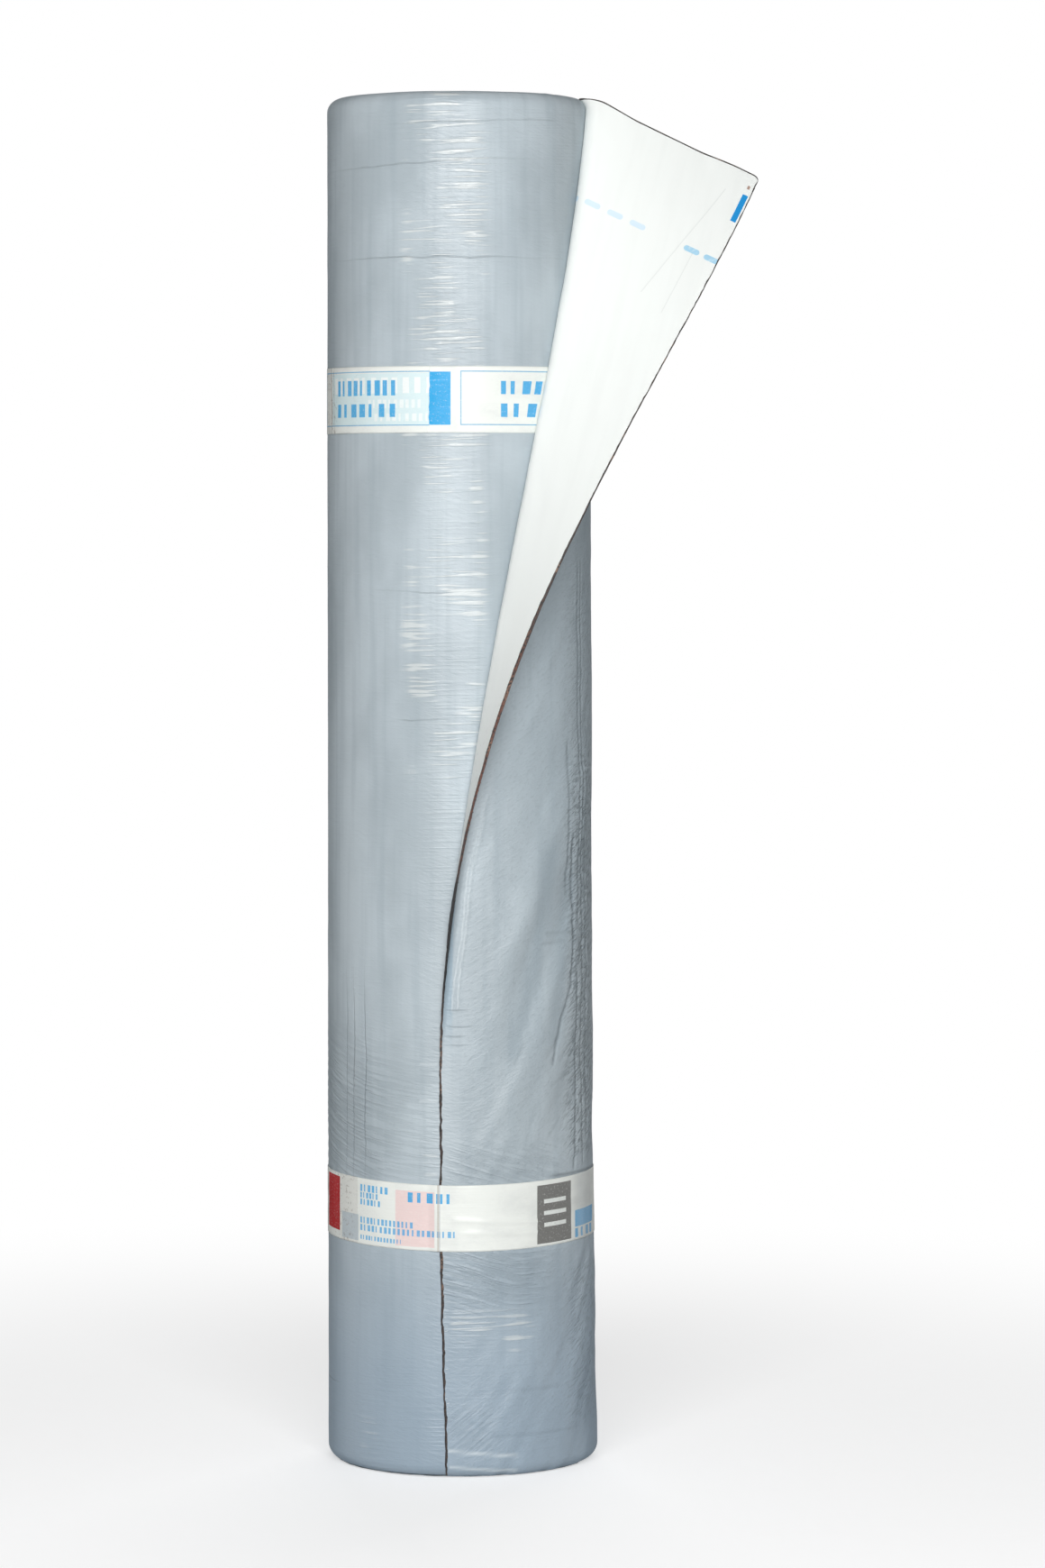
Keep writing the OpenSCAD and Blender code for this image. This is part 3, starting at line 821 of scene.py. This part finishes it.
def tape_material(name, prints, soil_at, strip_at):
    """Polypropylene packing tape, reverse printed: white and glossy, a little see-through,
    with dust and rubbed print, soiled towards its left, and greyed with painted shade
    where it turns away to the right."""
    material, tree = new_material(name)
    place, u, v = sheet_place(tree)
    soil = stretched_noise(tree, place, 30, 18, detail=4.0, rough=0.65)
    fine = stretched_noise(tree, place, 1.6, 1.6, detail=2.0)
    specks = stretched_noise(tree, place, 2.6, 3.4, detail=3.0, rough=0.7)
    level = stretched_noise(tree, place, 40, 2.6, detail=2.0)
    uprights = stretched_noise(tree, place, 2.2, 60, detail=2.0)
    soiled = add(tree, RANGE, {0: soil, 1: 0.4, 2: 0.7}, **SMOOTH)
    worn = add(tree, RANGE, {0: fine, 1: 0.25, 2: 0.4, 3: 0.75, 4: 1.0}, **SMOOTH)
    colour = add(tree, MIX, {0: soiled, 1: linear("#ecefea"), 2: linear("#e3e6e2")}, **RGBA)
    colour = painted(tree, colour, [(ink, strength, printed_shape(tree, u, v, *shape), worn)
                                    for ink, *shape, strength in prints])
    # The last mask greys the tape with painted shade where the roll turns away on the right
    left_side, strip_side, right_side_shade = [near_line(tree, u, middle*MM, half*MM)
                                         for middle, half in ((soil_at, 22), (strip_at, 12), (116, 26))]
    colour = painted(tree, colour, (("#aaa8a4", 0.6, (uprights, 0.45, 0.62), strip_side),
                                    ("#6b5346", 0.55, (specks, 0.58, 0.68), left_side),
                                    ("#b9bfc2", 0.4, right_side_shade)))
    gloss = add(tree, RANGE, {0: soil, 1: 0.3, 2: 0.7, 3: 0.2, 4: 0.32}, **SMOOTH)
    gloss = rough_at_grazing(tree, gloss, 0.3)
    finish_material(tree, {"Base Color": colour, "Roughness": gloss, "IOR": 1.45, "Specular IOR Level": 0.4},
                    ((level, 0.12), (soil, 0.25)))
    return material


facer = facer_material()
release = release_material()
bitumen = bitumen_material()
thread = thread_material()
turn_edges = turn_edge_material()
tape_under = tape_material("packing_tape_first_layer", first_layer_prints(), -300, -300)
tape_over = tape_material("packing_tape_second_layer", second_layer_prints(), -124, -121)
tape_lower = tape_material("packing_tape_lower", lower_prints(), 602 - 102, -300)


# --- Outer turn with the peeled corner -------------------------------------------------

def build_outer_turn():
    """The facer, the bead of bitumen along the free edge, and the release film of the
    peeled corner, as one skin"""
    z = sheet_rows()
    columns = steps((0, 34, 1.05), (34, 86, 2.2), (86, 150, 0.98), (150, 190, 2.6), (190, FIRST_PART, 4.4))
    share = columns/FIRST_PART
    tip, back, film_edge = tip_at(z), facer_back(z), film_back(z)
    start = tip + back
    s = start[:, None] + (FIRST_PART - start[:, None])*share
    zz = np.repeat(z[:, None], len(columns), axis=1)
    mid = sheet_mid(s, zz)
    relief = outer_relief(s, zz)
    facer_side = mid + normals(mid)*(HALF_T + relief)[..., None]

    # The film is drawn back from the bitumen at the side and at the top
    film_s = s + (film_edge - back)[:, None]*ease(s, start[:, None] + 14, start[:, None])
    film_z = zz - 1.0*ease(zz, SHEET_W - 4, SHEET_W)
    film_mid = sheet_mid(film_s, film_z)
    film_side = film_mid - normals(film_mid)*(HALF_T - 0.03 - 0.6*relief)[..., None]
    top_strip = mid[-1] - normals(mid)[-1]*(HALF_T - 0.02)

    n_rows, n_columns = zz.shape
    bead_points = []
    bead_uv = []
    for k, (share_out, level) in enumerate(((0.5, 0.5), (1.0, 0.12), (0.92, -0.3), (0.3, -0.62))):
        jag = 0.22*soft_noise(z/1.7, z*0 + k, 61) + 0.2*soft_noise(z/5, z*0 + 3*k, 62)
        behind = back if k < 2 else film_edge
        at = (tip + behind*(1 - share_out) + 0.6*jag)[:, None]
        line = sheet_mid(np.repeat(at, 3, axis=1) + np.array([-1, 0, 1]), zz[:, :3])
        swollen = 1 + (1.9 if level < 0 else 0.6)*hump(z, 404, 30)
        bead_points.append(line[:, 1] + normals(line)[:, 1]*(level*swollen + 0.4*jag)[:, None])
        bead_uv.append(on_map(at[:, 0], z))

    facer_ids = grid_ids(0, n_rows, n_columns)
    film_ids = grid_ids(facer_ids.size, n_rows, n_columns)
    bead_ids = grid_ids(2*facer_ids.size, len(bead_points), n_rows).T
    strip_ids = bead_ids.max() + 1 + np.arange(n_columns)
    points = np.concatenate([facer_side.reshape(-1, 3), film_side.reshape(-1, 3), *bead_points, top_strip])
    uv = np.concatenate([on_map(s, zz), on_map(film_s, film_z), *bead_uv, on_map(s[-1], zz[-1])])
    marks = {key: np.concatenate([values.ravel(), np.zeros(len(points) - values.size)])
             for key, values in outer_marks(s, zz).items()}

    # The film is only needed where the sheet is peeled, and a little further in
    root = np.radians(fold_at(z))*WOUND_R + 14
    needed = ((s < root[:, None]) & (zz > PEEL_START - 20))[:-1, :-1].ravel()
    film_faces = quads(film_ids)[:, ::-1][needed]
    rim = np.concatenate([film_ids[:, :1], bead_ids[:, ::-1], facer_ids[:, :1]], axis=1)
    top_rim = np.stack([facer_ids[-1], strip_ids, film_ids[-1]])
    foot_rim = np.stack([film_ids[0], facer_ids[0]])
    edges = np.concatenate([quads(rim), quads(top_rim), quads(foot_rim)])
    piece = make_piece("outer_turn", points, uv*MM,
                       [(quads(facer_ids), facer), (film_faces, release), (edges, bitumen)], marks)
    finish_piece(piece, "membrane", "membrane")


def build_turn_below():
    """The rest of the outer turn and the turn below it, to under the fold"""
    z = sheet_rows()
    columns = steps((FIRST_PART - 0.5, 440, 3.6), (440, 610, 1.9), (610, FIRST_PART + SECOND_PART, 2.6))
    s, zz = np.meshgrid(columns, z)
    mid = sheet_mid(s, zz)
    normal = normals(mid)
    blend = FIRST_PART + 60
    height = outer_relief(s, zz)*ease(s, blend, FIRST_PART) + below_relief(s, zz)*ease(s, FIRST_PART, blend)
    # Its first half millimetre lies a hair below the skin of the outer turn
    lower = 0.02*(s < FIRST_PART)
    outside = mid + normal*(HALF_T + height - lower)[..., None]
    inside = mid - normal*HALF_T
    ids = grid_ids(0, *zz.shape)
    inner_ids = grid_ids(ids.size, *zz.shape)
    points = np.concatenate([outside.reshape(-1, 3), inside.reshape(-1, 3)])
    uv = np.tile(on_map(s, zz), (2, 1))
    rims = np.concatenate([quads(np.stack([ids[-1], inner_ids[-1]])),
                           quads(np.stack([inner_ids[0], ids[0]]))])
    marks = {key: np.tile(values.ravel(), 2) for key, values in below_marks(s, zz).items()}
    piece = make_piece("turn_below", points, uv*MM, [(quads(ids), facer), (rims, bitumen)], marks)
    finish_piece(piece, "membrane", "membrane")


# --- Ends of the roll, made by Geometry Nodes --------------------------------------------

def new_tree(name, inputs):
    """A Geometry Nodes tree that takes geometry and the inputs, each a name and a kind,
    and gives geometry. Returns the tree and its inputs."""
    tree = bpy.data.node_groups.new(name, "GeometryNodeTree")
    for label, kind in {"Geometry": "Geometry", **inputs}.items():
        tree.interface.new_socket(label, in_out="INPUT", socket_type="NodeSocket" + kind)
    tree.interface.new_socket("Geometry", in_out="OUTPUT", socket_type="NodeSocketGeometry")
    return tree, tree.nodes.new("NodeGroupInput").outputs[:len(inputs) + 1]


def finish_tree(tree, geometry, material):
    geometry = add(tree, "GeometryNodeRealizeInstances", {"Geometry": geometry})
    geometry = add(tree, "GeometryNodeSetMaterial", {"Geometry": geometry, "Material": material})
    add(tree, "NodeGroupOutput", {0: geometry})
    return tree


def line_object(name, points):
    """A line through points in mm, for a tree to work on"""
    curve = bpy.data.curves.new(name, "CURVE")
    curve.dimensions = "3D"
    spline = curve.splines.new("POLY")
    spline.points.add(len(points) - 1)
    places = np.concatenate([points*MM, np.ones((len(points), 1))], axis=1)
    spline.points.foreach_set("co", places.astype(np.float32).ravel())
    return new_object(name, curve)


def turns_tree(name, material):
    """Geometry Nodes: lays the sheet's cut edge along the spiral of the turns"""
    tree, (line, thickness, uneven, seed) = new_tree(
        name, {"Sheet thickness": "Float", "Unevenness": "Float", "Seed": "Float"})
    radius = add(tree, MATH, {0: thickness, 1: 0.5}, **TIMES)
    profile = add(tree, "GeometryNodeCurveArc", {"Resolution": 6, "Radius": radius, "Start Angle": 0.0,
                                                 "Sweep Angle": math.pi})
    parameter = add(tree, "GeometryNodeSplineParameter", out="Factor")
    profile = add(tree, "GeometryNodeStoreNamedAttribute",
                  {"Geometry": profile, "Name": "across", "Value": parameter},
                  data_type="FLOAT", domain="POINT")
    spiral = add(tree, "GeometryNodeSetCurveNormal", {"Curve": line}, mode="Z_UP")
    skin = add(tree, "GeometryNodeCurveToMesh",
               {"Curve": spiral, "Profile Curve": profile, "Fill Caps": False})
    place = add(tree, "GeometryNodeInputPosition")
    noise = add(tree, "ShaderNodeTexNoise", {"Vector": place, "W": seed, "Scale": 95.0, "Detail": 3.0},
                noise_dimensions="4D")
    rise = add(tree, MATH, {0: noise, 1: 0.5}, **MINUS)
    rise = add(tree, MATH, {0: rise, 1: uneven}, **TIMES)
    offset = add(tree, "ShaderNodeCombineXYZ", {"Z": rise})
    skin = add(tree, "GeometryNodeSetPosition", {"Geometry": skin, "Offset": offset})
    skin = add(tree, "GeometryNodeSetShadeSmooth", {"Geometry": skin})
    return finish_tree(tree, skin, material)


def run_tree(source, tree, name, settings):
    """Applies a Geometry Nodes tree to an object and returns the result as a plain piece"""
    modifier = source.modifiers.new("tree", "NODES")
    modifier.node_group = tree
    identifiers = {item.name: item.identifier
                   for item in tree.interface.items_tree if item.in_out == "INPUT"}
    for key, value in settings.items():
        modifier[identifiers[key]] = value
    bpy.context.view_layer.update()
    graph = bpy.context.evaluated_depsgraph_get()
    mesh = bpy.data.meshes.new_from_object(source.evaluated_get(graph))
    mesh.name = name
    bpy.data.objects.remove(source)
    return new_object(name, mesh)


def spiral_curve(name, height, facing):
    """The line along the turns' edges, from the bore to under the outer turn's curl"""
    last = OUTER_R - SHOULDER_R*math.sin(math.radians(CURL)) + 1.5
    turns = (last - BORE_R)/SHEET_T
    angles = np.arange(0, turns*360, 2.0)
    r = BORE_R + HALF_T + (angles/360)*SHEET_T
    slack = loose(np.mod(angles, 360), height + 0*r)*ease(r, 70, last)
    drop = 1.35 + 1.6*ease(r, last - 14, last + 4)**2
    return line_object(name, polar(r + slack, angles, height - facing*drop))


def build_ends():
    tree = turns_tree("edge_of_the_turns", turn_edges)
    for name, height, facing, seed in (("turns_at_top", SHEET_W, 1, 1.0), ("turns_at_foot", 0, -1, 2.0)):
        line = spiral_curve(name + "_line", height, facing)
        settings = {"Sheet thickness": SHEET_T*1.04*MM, "Unevenness": 1.1*MM, "Seed": seed}
        piece = run_tree(line, tree, name, settings)
        if facing < 0:
            turn_over(piece, height)
        finish_piece(piece, "membrane", "membrane")


def turn_over(piece, height):
    """Turns the rounded side of the edges down, about their own height"""
    lift = 0.0002
    count = len(piece.data.vertices)
    co = np.zeros(count*3, np.float32)
    piece.data.vertices.foreach_get("co", co)
    co = co.reshape(-1, 3)
    co[:, 2] = height*MM + co[:, 2].max() - co[:, 2] + lift
    piece.data.vertices.foreach_set("co", co.ravel())
    piece.data.flip_normals()
    piece.data.update()


def build_bore():
    """The innermost turn's release film, with the step at the sheet's inner end"""
    d = np.arange(0, 360 + 3, 4.0)
    z = np.concatenate([[0.6], np.linspace(4, SHEET_W - 4, 26), [SHEET_W - 0.6]])
    dd, zz = np.meshgrid(d, z)
    r = BORE_R + SHEET_T*dd/360 + 0.05*soft_noise(dd/40, zz/70, 71)
    wall = polar(r, dd, zz)
    step = polar(np.array([[BORE_R + SHEET_T, BORE_R]]), 0.0, z[:, None])
    ids = grid_ids(0, *dd.shape)
    step_ids = grid_ids(ids.size, len(z), 2)
    points = np.concatenate([wall.reshape(-1, 3), step.reshape(-1, 3)])
    uv = np.concatenate([on_map(dd*0.3 + 900, zz),
                         on_map(np.zeros((len(z), 2)), np.repeat(z[:, None], 2, axis=1))])
    piece = make_piece("bore_wall", points, uv*MM,
                       [(quads(ids)[:, ::-1], release), (quads(step_ids), bitumen)])
    finish_piece(piece, "membrane", "membrane")


# --- Tape bands -----------------------------------------------------------------------

def lower_climb(d):
    """How far the lower tape, which is wound aslant, lies above its place in the frame"""
    return 2.3 + 2.6*np.sin(np.radians(d + SEAM))**2


def build_ribbon(name, d, radius, span, material, node, ragged=None, closed=False):
    """A strip of tape through the angles d at the radii given for each row and column"""
    v = np.linspace(0, span[1] - span[0], 37)
    dd, vv = np.meshgrid(d, v)
    uu = np.radians(dd + SEAM)*UNDER_R
    zz = span[0] + vv + (lower_climb(dd) if closed else UPPER_CLIMB)
    if ragged is not None:
        dd = ragged(dd, vv)
    r = radius(dd, zz)
    ids = grid_ids(0, *dd.shape)
    inner = grid_ids(ids.size, *dd.shape)
    points = np.concatenate([polar(r, dd, zz).reshape(-1, 3), polar(r - TAPE_T, dd, zz).reshape(-1, 3)])
    uv = np.tile(on_map(uu, vv), (2, 1))
    rims = [(ids[-1], inner[-1]), (inner[0], ids[0])]
    ends = [] if closed else [(ids[:, -1], inner[:, -1]), (inner[:, 0], ids[:, 0])]
    faces = [quads(ids), quads(inner)[:, ::-1], *[quads(np.stack(rim)) for rim in rims],
             *[quads(np.stack(end, axis=1)) for end in ends]]
    piece = make_piece(name, points, uv*MM, [(np.concatenate(faces), material)])
    finish_piece(piece, "tape", node)


def roll_r(d):
    """Outside radius of the roll at angle d from the free edge, 0 to 360"""
    return turn_mid(d) + HALF_T


def lower_radius(d, z):
    r = roll_r(np.minimum(d, 360)) + loose(d, z) + TAPE_GAP + TAPE_T
    r = r + ease(d, 360 - 4.5, 360)*(OUTER_R - UNDER_R)
    u = np.radians(d + SEAM)*UNDER_R
    v = z - LOWER_BAND[0] - lower_climb(d)
    # Two long ridges and some slack on the right of the free edge
    for height, slope, start, end in ((22.7, -0.062, -4, 70), (13.7, -0.047, 3, 66)):
        r = r + 0.9*hump(v, height + slope*u, 1.4)*ease(u, start, start + 6)*ease(u, end, end - 14)
    # The edge of the sheet beneath, and an upright pucker on the left
    r = r + 0.25*hump(u, -13, 1.4) + 0.4*hump(u, 2*np.pi*UNDER_R - 104.5, 1.0)
    puckered = 0.6 + 1.2*ease(u, 92, 110)*ease(u, 150, 135)
    return r + 0.18*soft_noise(d/14, v/9, 81) + 0.12*soft_noise(d/3, v/30, 82)*puckered


def upper_base(d):
    return np.where(d >= 0, UNDER_R, roll_r(np.mod(d, 360)))


def first_radius(d, z):
    return upper_base(d) + TAPE_GAP + TAPE_T + 0.08*soft_noise(d/9, z/11, 83)


def second_radius(d, z):
    on_first = ease(d, LAP_START - LAP - 6, LAP_START - LAP)
    swell = 0.12*soft_noise(d/7, z/14, 84)
    bagging = np.where(d < -180, loose(d + 360, z), 0)
    return upper_base(d) + bagging + TAPE_GAP + TAPE_T + on_first*(TAPE_T + 0.14) + swell*on_first + 0.05


def torn_end(d, v):
    """Tears the tape's outer end"""
    jag = 0.2*soft_noise(v/3.6, v*0, 85) + 0.15*soft_noise(v/1.3, v*0, 86) + 0.4*(v/48 - 0.5)
    return d + jag*ease(d, LAP_START - 6, LAP_START)


def end_at_fold(d, v):
    """Lets the end of the first layer follow the slope of the fold"""
    low = fold_at(UPPER_BAND[0])
    return d + (fold_at(UPPER_BAND[0] + v + UPPER_CLIMB) - low)*ease(d, low - 16, low - 1)


def build_bands():
    whole = np.unique(np.concatenate([np.arange(0, 352, 1.6), np.arange(352, 360.01, 0.5)]))
    build_ribbon("tape_band_lower", whole, lower_radius, LOWER_BAND, tape_lower, "lower_band", closed=True)
    first_d = np.linspace(LAP_START - LAP, float(fold_at(UPPER_BAND[0])) - 0.7, 84)
    build_ribbon("tape_band_upper_first_layer", first_d, first_radius, UPPER_BAND, tape_under, "upper_band",
                 ragged=end_at_fold)
    second_d = np.concatenate([np.arange(float(fold_at(UPPER_BAND[1])) + 3 - 360, LAP_START - 6, 1.6),
                               np.arange(LAP_START - 6, LAP_START + 0.01, 0.5)])
    build_ribbon("tape_band_upper_second_layer", second_d, second_radius, UPPER_BAND, tape_over, "upper_band",
                 ragged=torn_end)


# --- Crumbs of bitumen and pulled threads along the free edge ------------------------------

def crumbs_tree(material):
    """Small grains scattered along a line, each with its own size and turn"""
    tree, (line, count, spread, radius, smallest, largest, turn, seed) = new_tree(
        "crumbs_along_the_edge", {"Count": "Int", "Spread": "Float", "Radius": "Float", "Smallest": "Vector",
                                  "Largest": "Vector", "Turn": "Vector", "Seed": "Int"})
    points = add(tree, "GeometryNodeCurveToPoints", {"Curve": line, "Count": count}, mode="COUNT")
    spread = add(tree, "ShaderNodeCombineXYZ", {0: spread, 1: spread, 2: spread})
    back, back_turn = [add(tree, "ShaderNodeVectorMath", {0: value, 1: (-1, -1, -1)}, operation="MULTIPLY")
                       for value in (spread, turn)]
    shift, size, turn = [
        add(tree, "FunctionNodeRandomValue", {"Min": least, "Max": most, "Seed": seed},
            data_type="FLOAT_VECTOR")
        for least, most in ((back, spread), (smallest, largest), (back_turn, turn))]
    points = add(tree, "GeometryNodeSetPosition", {"Geometry": points, "Offset": shift})
    crumb = add(tree, "GeometryNodeMeshIcoSphere", {"Radius": radius, "Subdivisions": 1})
    crumbs = add(tree, "GeometryNodeInstanceOnPoints",
                 {"Points": points, "Instance": crumb, "Rotation": turn, "Scale": size})
    return finish_tree(tree, crumbs, material)


def build_scattered(name, material, z, ahead, lift, settings):
    """Grains along the free edge, a distance ahead of the facer's edge and off its middle"""
    at = (tip_at(z) + 0.4*facer_back(z) + ahead)[:, None] + np.array([-1, 0, 1])
    line = sheet_mid(at, np.repeat(z[:, None], 3, axis=1))
    middle = line[:, 1] + normals(line)[:, 1]*lift
    piece = run_tree(line_object("edge_line", middle), crumbs_tree(material), name, settings)
    finish_piece(piece, "membrane", "membrane")


def build_crumbs():
    build_scattered("bitumen_crumbs", bitumen, np.arange(16, 560, 2.0), 0, 0.25,
                    {"Count": 240, "Spread": 0.6*MM, "Radius": 0.42*MM, "Smallest": (0.25, 0.25, 0.35),
                     "Largest": (1, 1, 1.6), "Turn": (3, 3, 3), "Seed": 5})
    build_scattered("pulled_threads", thread, np.arange(48, 136, 2.0), 2.4, 0.75,
                    {"Count": 26, "Spread": 0.7*MM, "Radius": 0.3*MM, "Smallest": (1.5, 0.4, 0.35),
                     "Largest": (6.5, 0.6, 0.6), "Turn": (0.1, 0.45, 0.2), "Seed": 9})


build_outer_turn()
build_turn_below()
build_ends()
build_bore()
build_bands()
build_crumbs()


# --- Stage, light and camera ------------------------------------------------------------

def white_for_camera(tree, seen_shader, other_shader):
    """The first shader for camera, mirror and glass rays, and the second one for light"""
    path = add(tree, "ShaderNodeLightPath").node
    seen = path.outputs["Is Camera Ray"]
    for ray in ("Is Glossy Ray", "Is Transmission Ray"):
        seen = add(tree, MATH, {0: seen, 1: path.outputs[ray]}, **LARGER)
    return add(tree, "ShaderNodeMixShader", {0: seen, 1: other_shader, 2: seen_shader})


def make_floor():
    """Plain pale floor: white paper that keeps the roll's soft shadow near it"""
    material, tree = new_material("floor_white_paper")
    place = add(tree, "ShaderNodeTexCoord", out="Object")
    distance = add(tree, "ShaderNodeVectorMath", {0: place}, out="Value", operation="LENGTH")
    grain = add(tree, "ShaderNodeTexNoise", {"Vector": place, "Scale": 40.0, "Detail": 2.0})
    colour = add(tree, MIX, {0: grain, 1: linear("#e3e3e3"), 2: linear("#e6e6e6")}, **RGBA)
    paper = add(tree, "ShaderNodeBsdfDiffuse", {"Color": colour})
    glow = add(tree, "ShaderNodeEmission", {"Color": (1, 1, 1, 1), "Strength": 0.5})
    lit = add(tree, "ShaderNodeAddShader", {0: paper, 1: glow})
    white = add(tree, "ShaderNodeEmission", {"Color": (1, 1, 1, 1), "Strength": 1.0})
    far = add(tree, RANGE, {0: distance, 1: 0.35, 2: 1.3}, **SMOOTH)
    seen = add(tree, "ShaderNodeMixShader", {0: far, 1: lit, 2: white})
    add(tree, "ShaderNodeOutputMaterial", {"Surface": white_for_camera(tree, seen, paper)})
    half, gap = 30, 0.0004
    corners = [(-half, -half, 0), (half, -half, 0), (half, half, 0), (-half, half, 0)]
    mesh = bpy.data.meshes.new("floor")
    mesh.from_pydata(corners, [], [(0, 1, 2, 3)])
    mesh.materials.append(material)
    floor = new_object("floor", mesh)
    floor.location.z = -gap


def make_world(level):
    world = bpy.data.worlds.new("studio")
    world.use_nodes = True
    tree = world.node_tree
    tree.nodes.clear()
    seen = add(tree, "ShaderNodeBackground", {"Color": (1, 1, 1, 1), "Strength": 1.0})
    light = add(tree, "ShaderNodeBackground", {"Color": (0.97, 0.985, 1, 1), "Strength": level})
    add(tree, "ShaderNodeOutputWorld", {"Surface": white_for_camera(tree, seen, light)})
    bpy.context.scene.world = world


def make_lamp(name, place, target, size, power):
    lamp = bpy.data.lights.new(name, "AREA")
    lamp.shape = "RECTANGLE"
    lamp.size, lamp.size_y = size
    lamp.energy = power
    lamp_object = new_object(name, lamp)
    lamp_object.location = place
    lamp_object.rotation_euler = (Vector(target) - Vector(place)).to_track_quat("-Z", "Y").to_euler()
    lamp_object.visible_camera = False


def make_camera():
    tilt_down = 1.6
    data = bpy.data.cameras.new("camera")
    data.lens = 118.3
    data.sensor_width = 36
    data.shift_y = -0.0876
    camera = new_object("camera", data)
    camera.location = (0.047, -3.797, 0.704)
    camera.rotation_euler = (math.radians(90 - tilt_down), 0, 0)
    bpy.context.scene.camera = camera


make_floor()
make_world(0.075)
make_lamp("front_softbox", (-0.1, -3.2, 1.6), (0, 0, 0.55), (2.7, 0.7), 77)
make_lamp("low_fill", (-0.1, -3.2, 0.35), (0, 0, 0.3), (2.6, 0.5), 27)
make_lamp("back_fill", (0.6, 3.6, 1.8), (0, 0, 0.5), (3.0, 1.6), 58)
make_camera()
bpy.context.scene.view_settings.view_transform = "Standard"
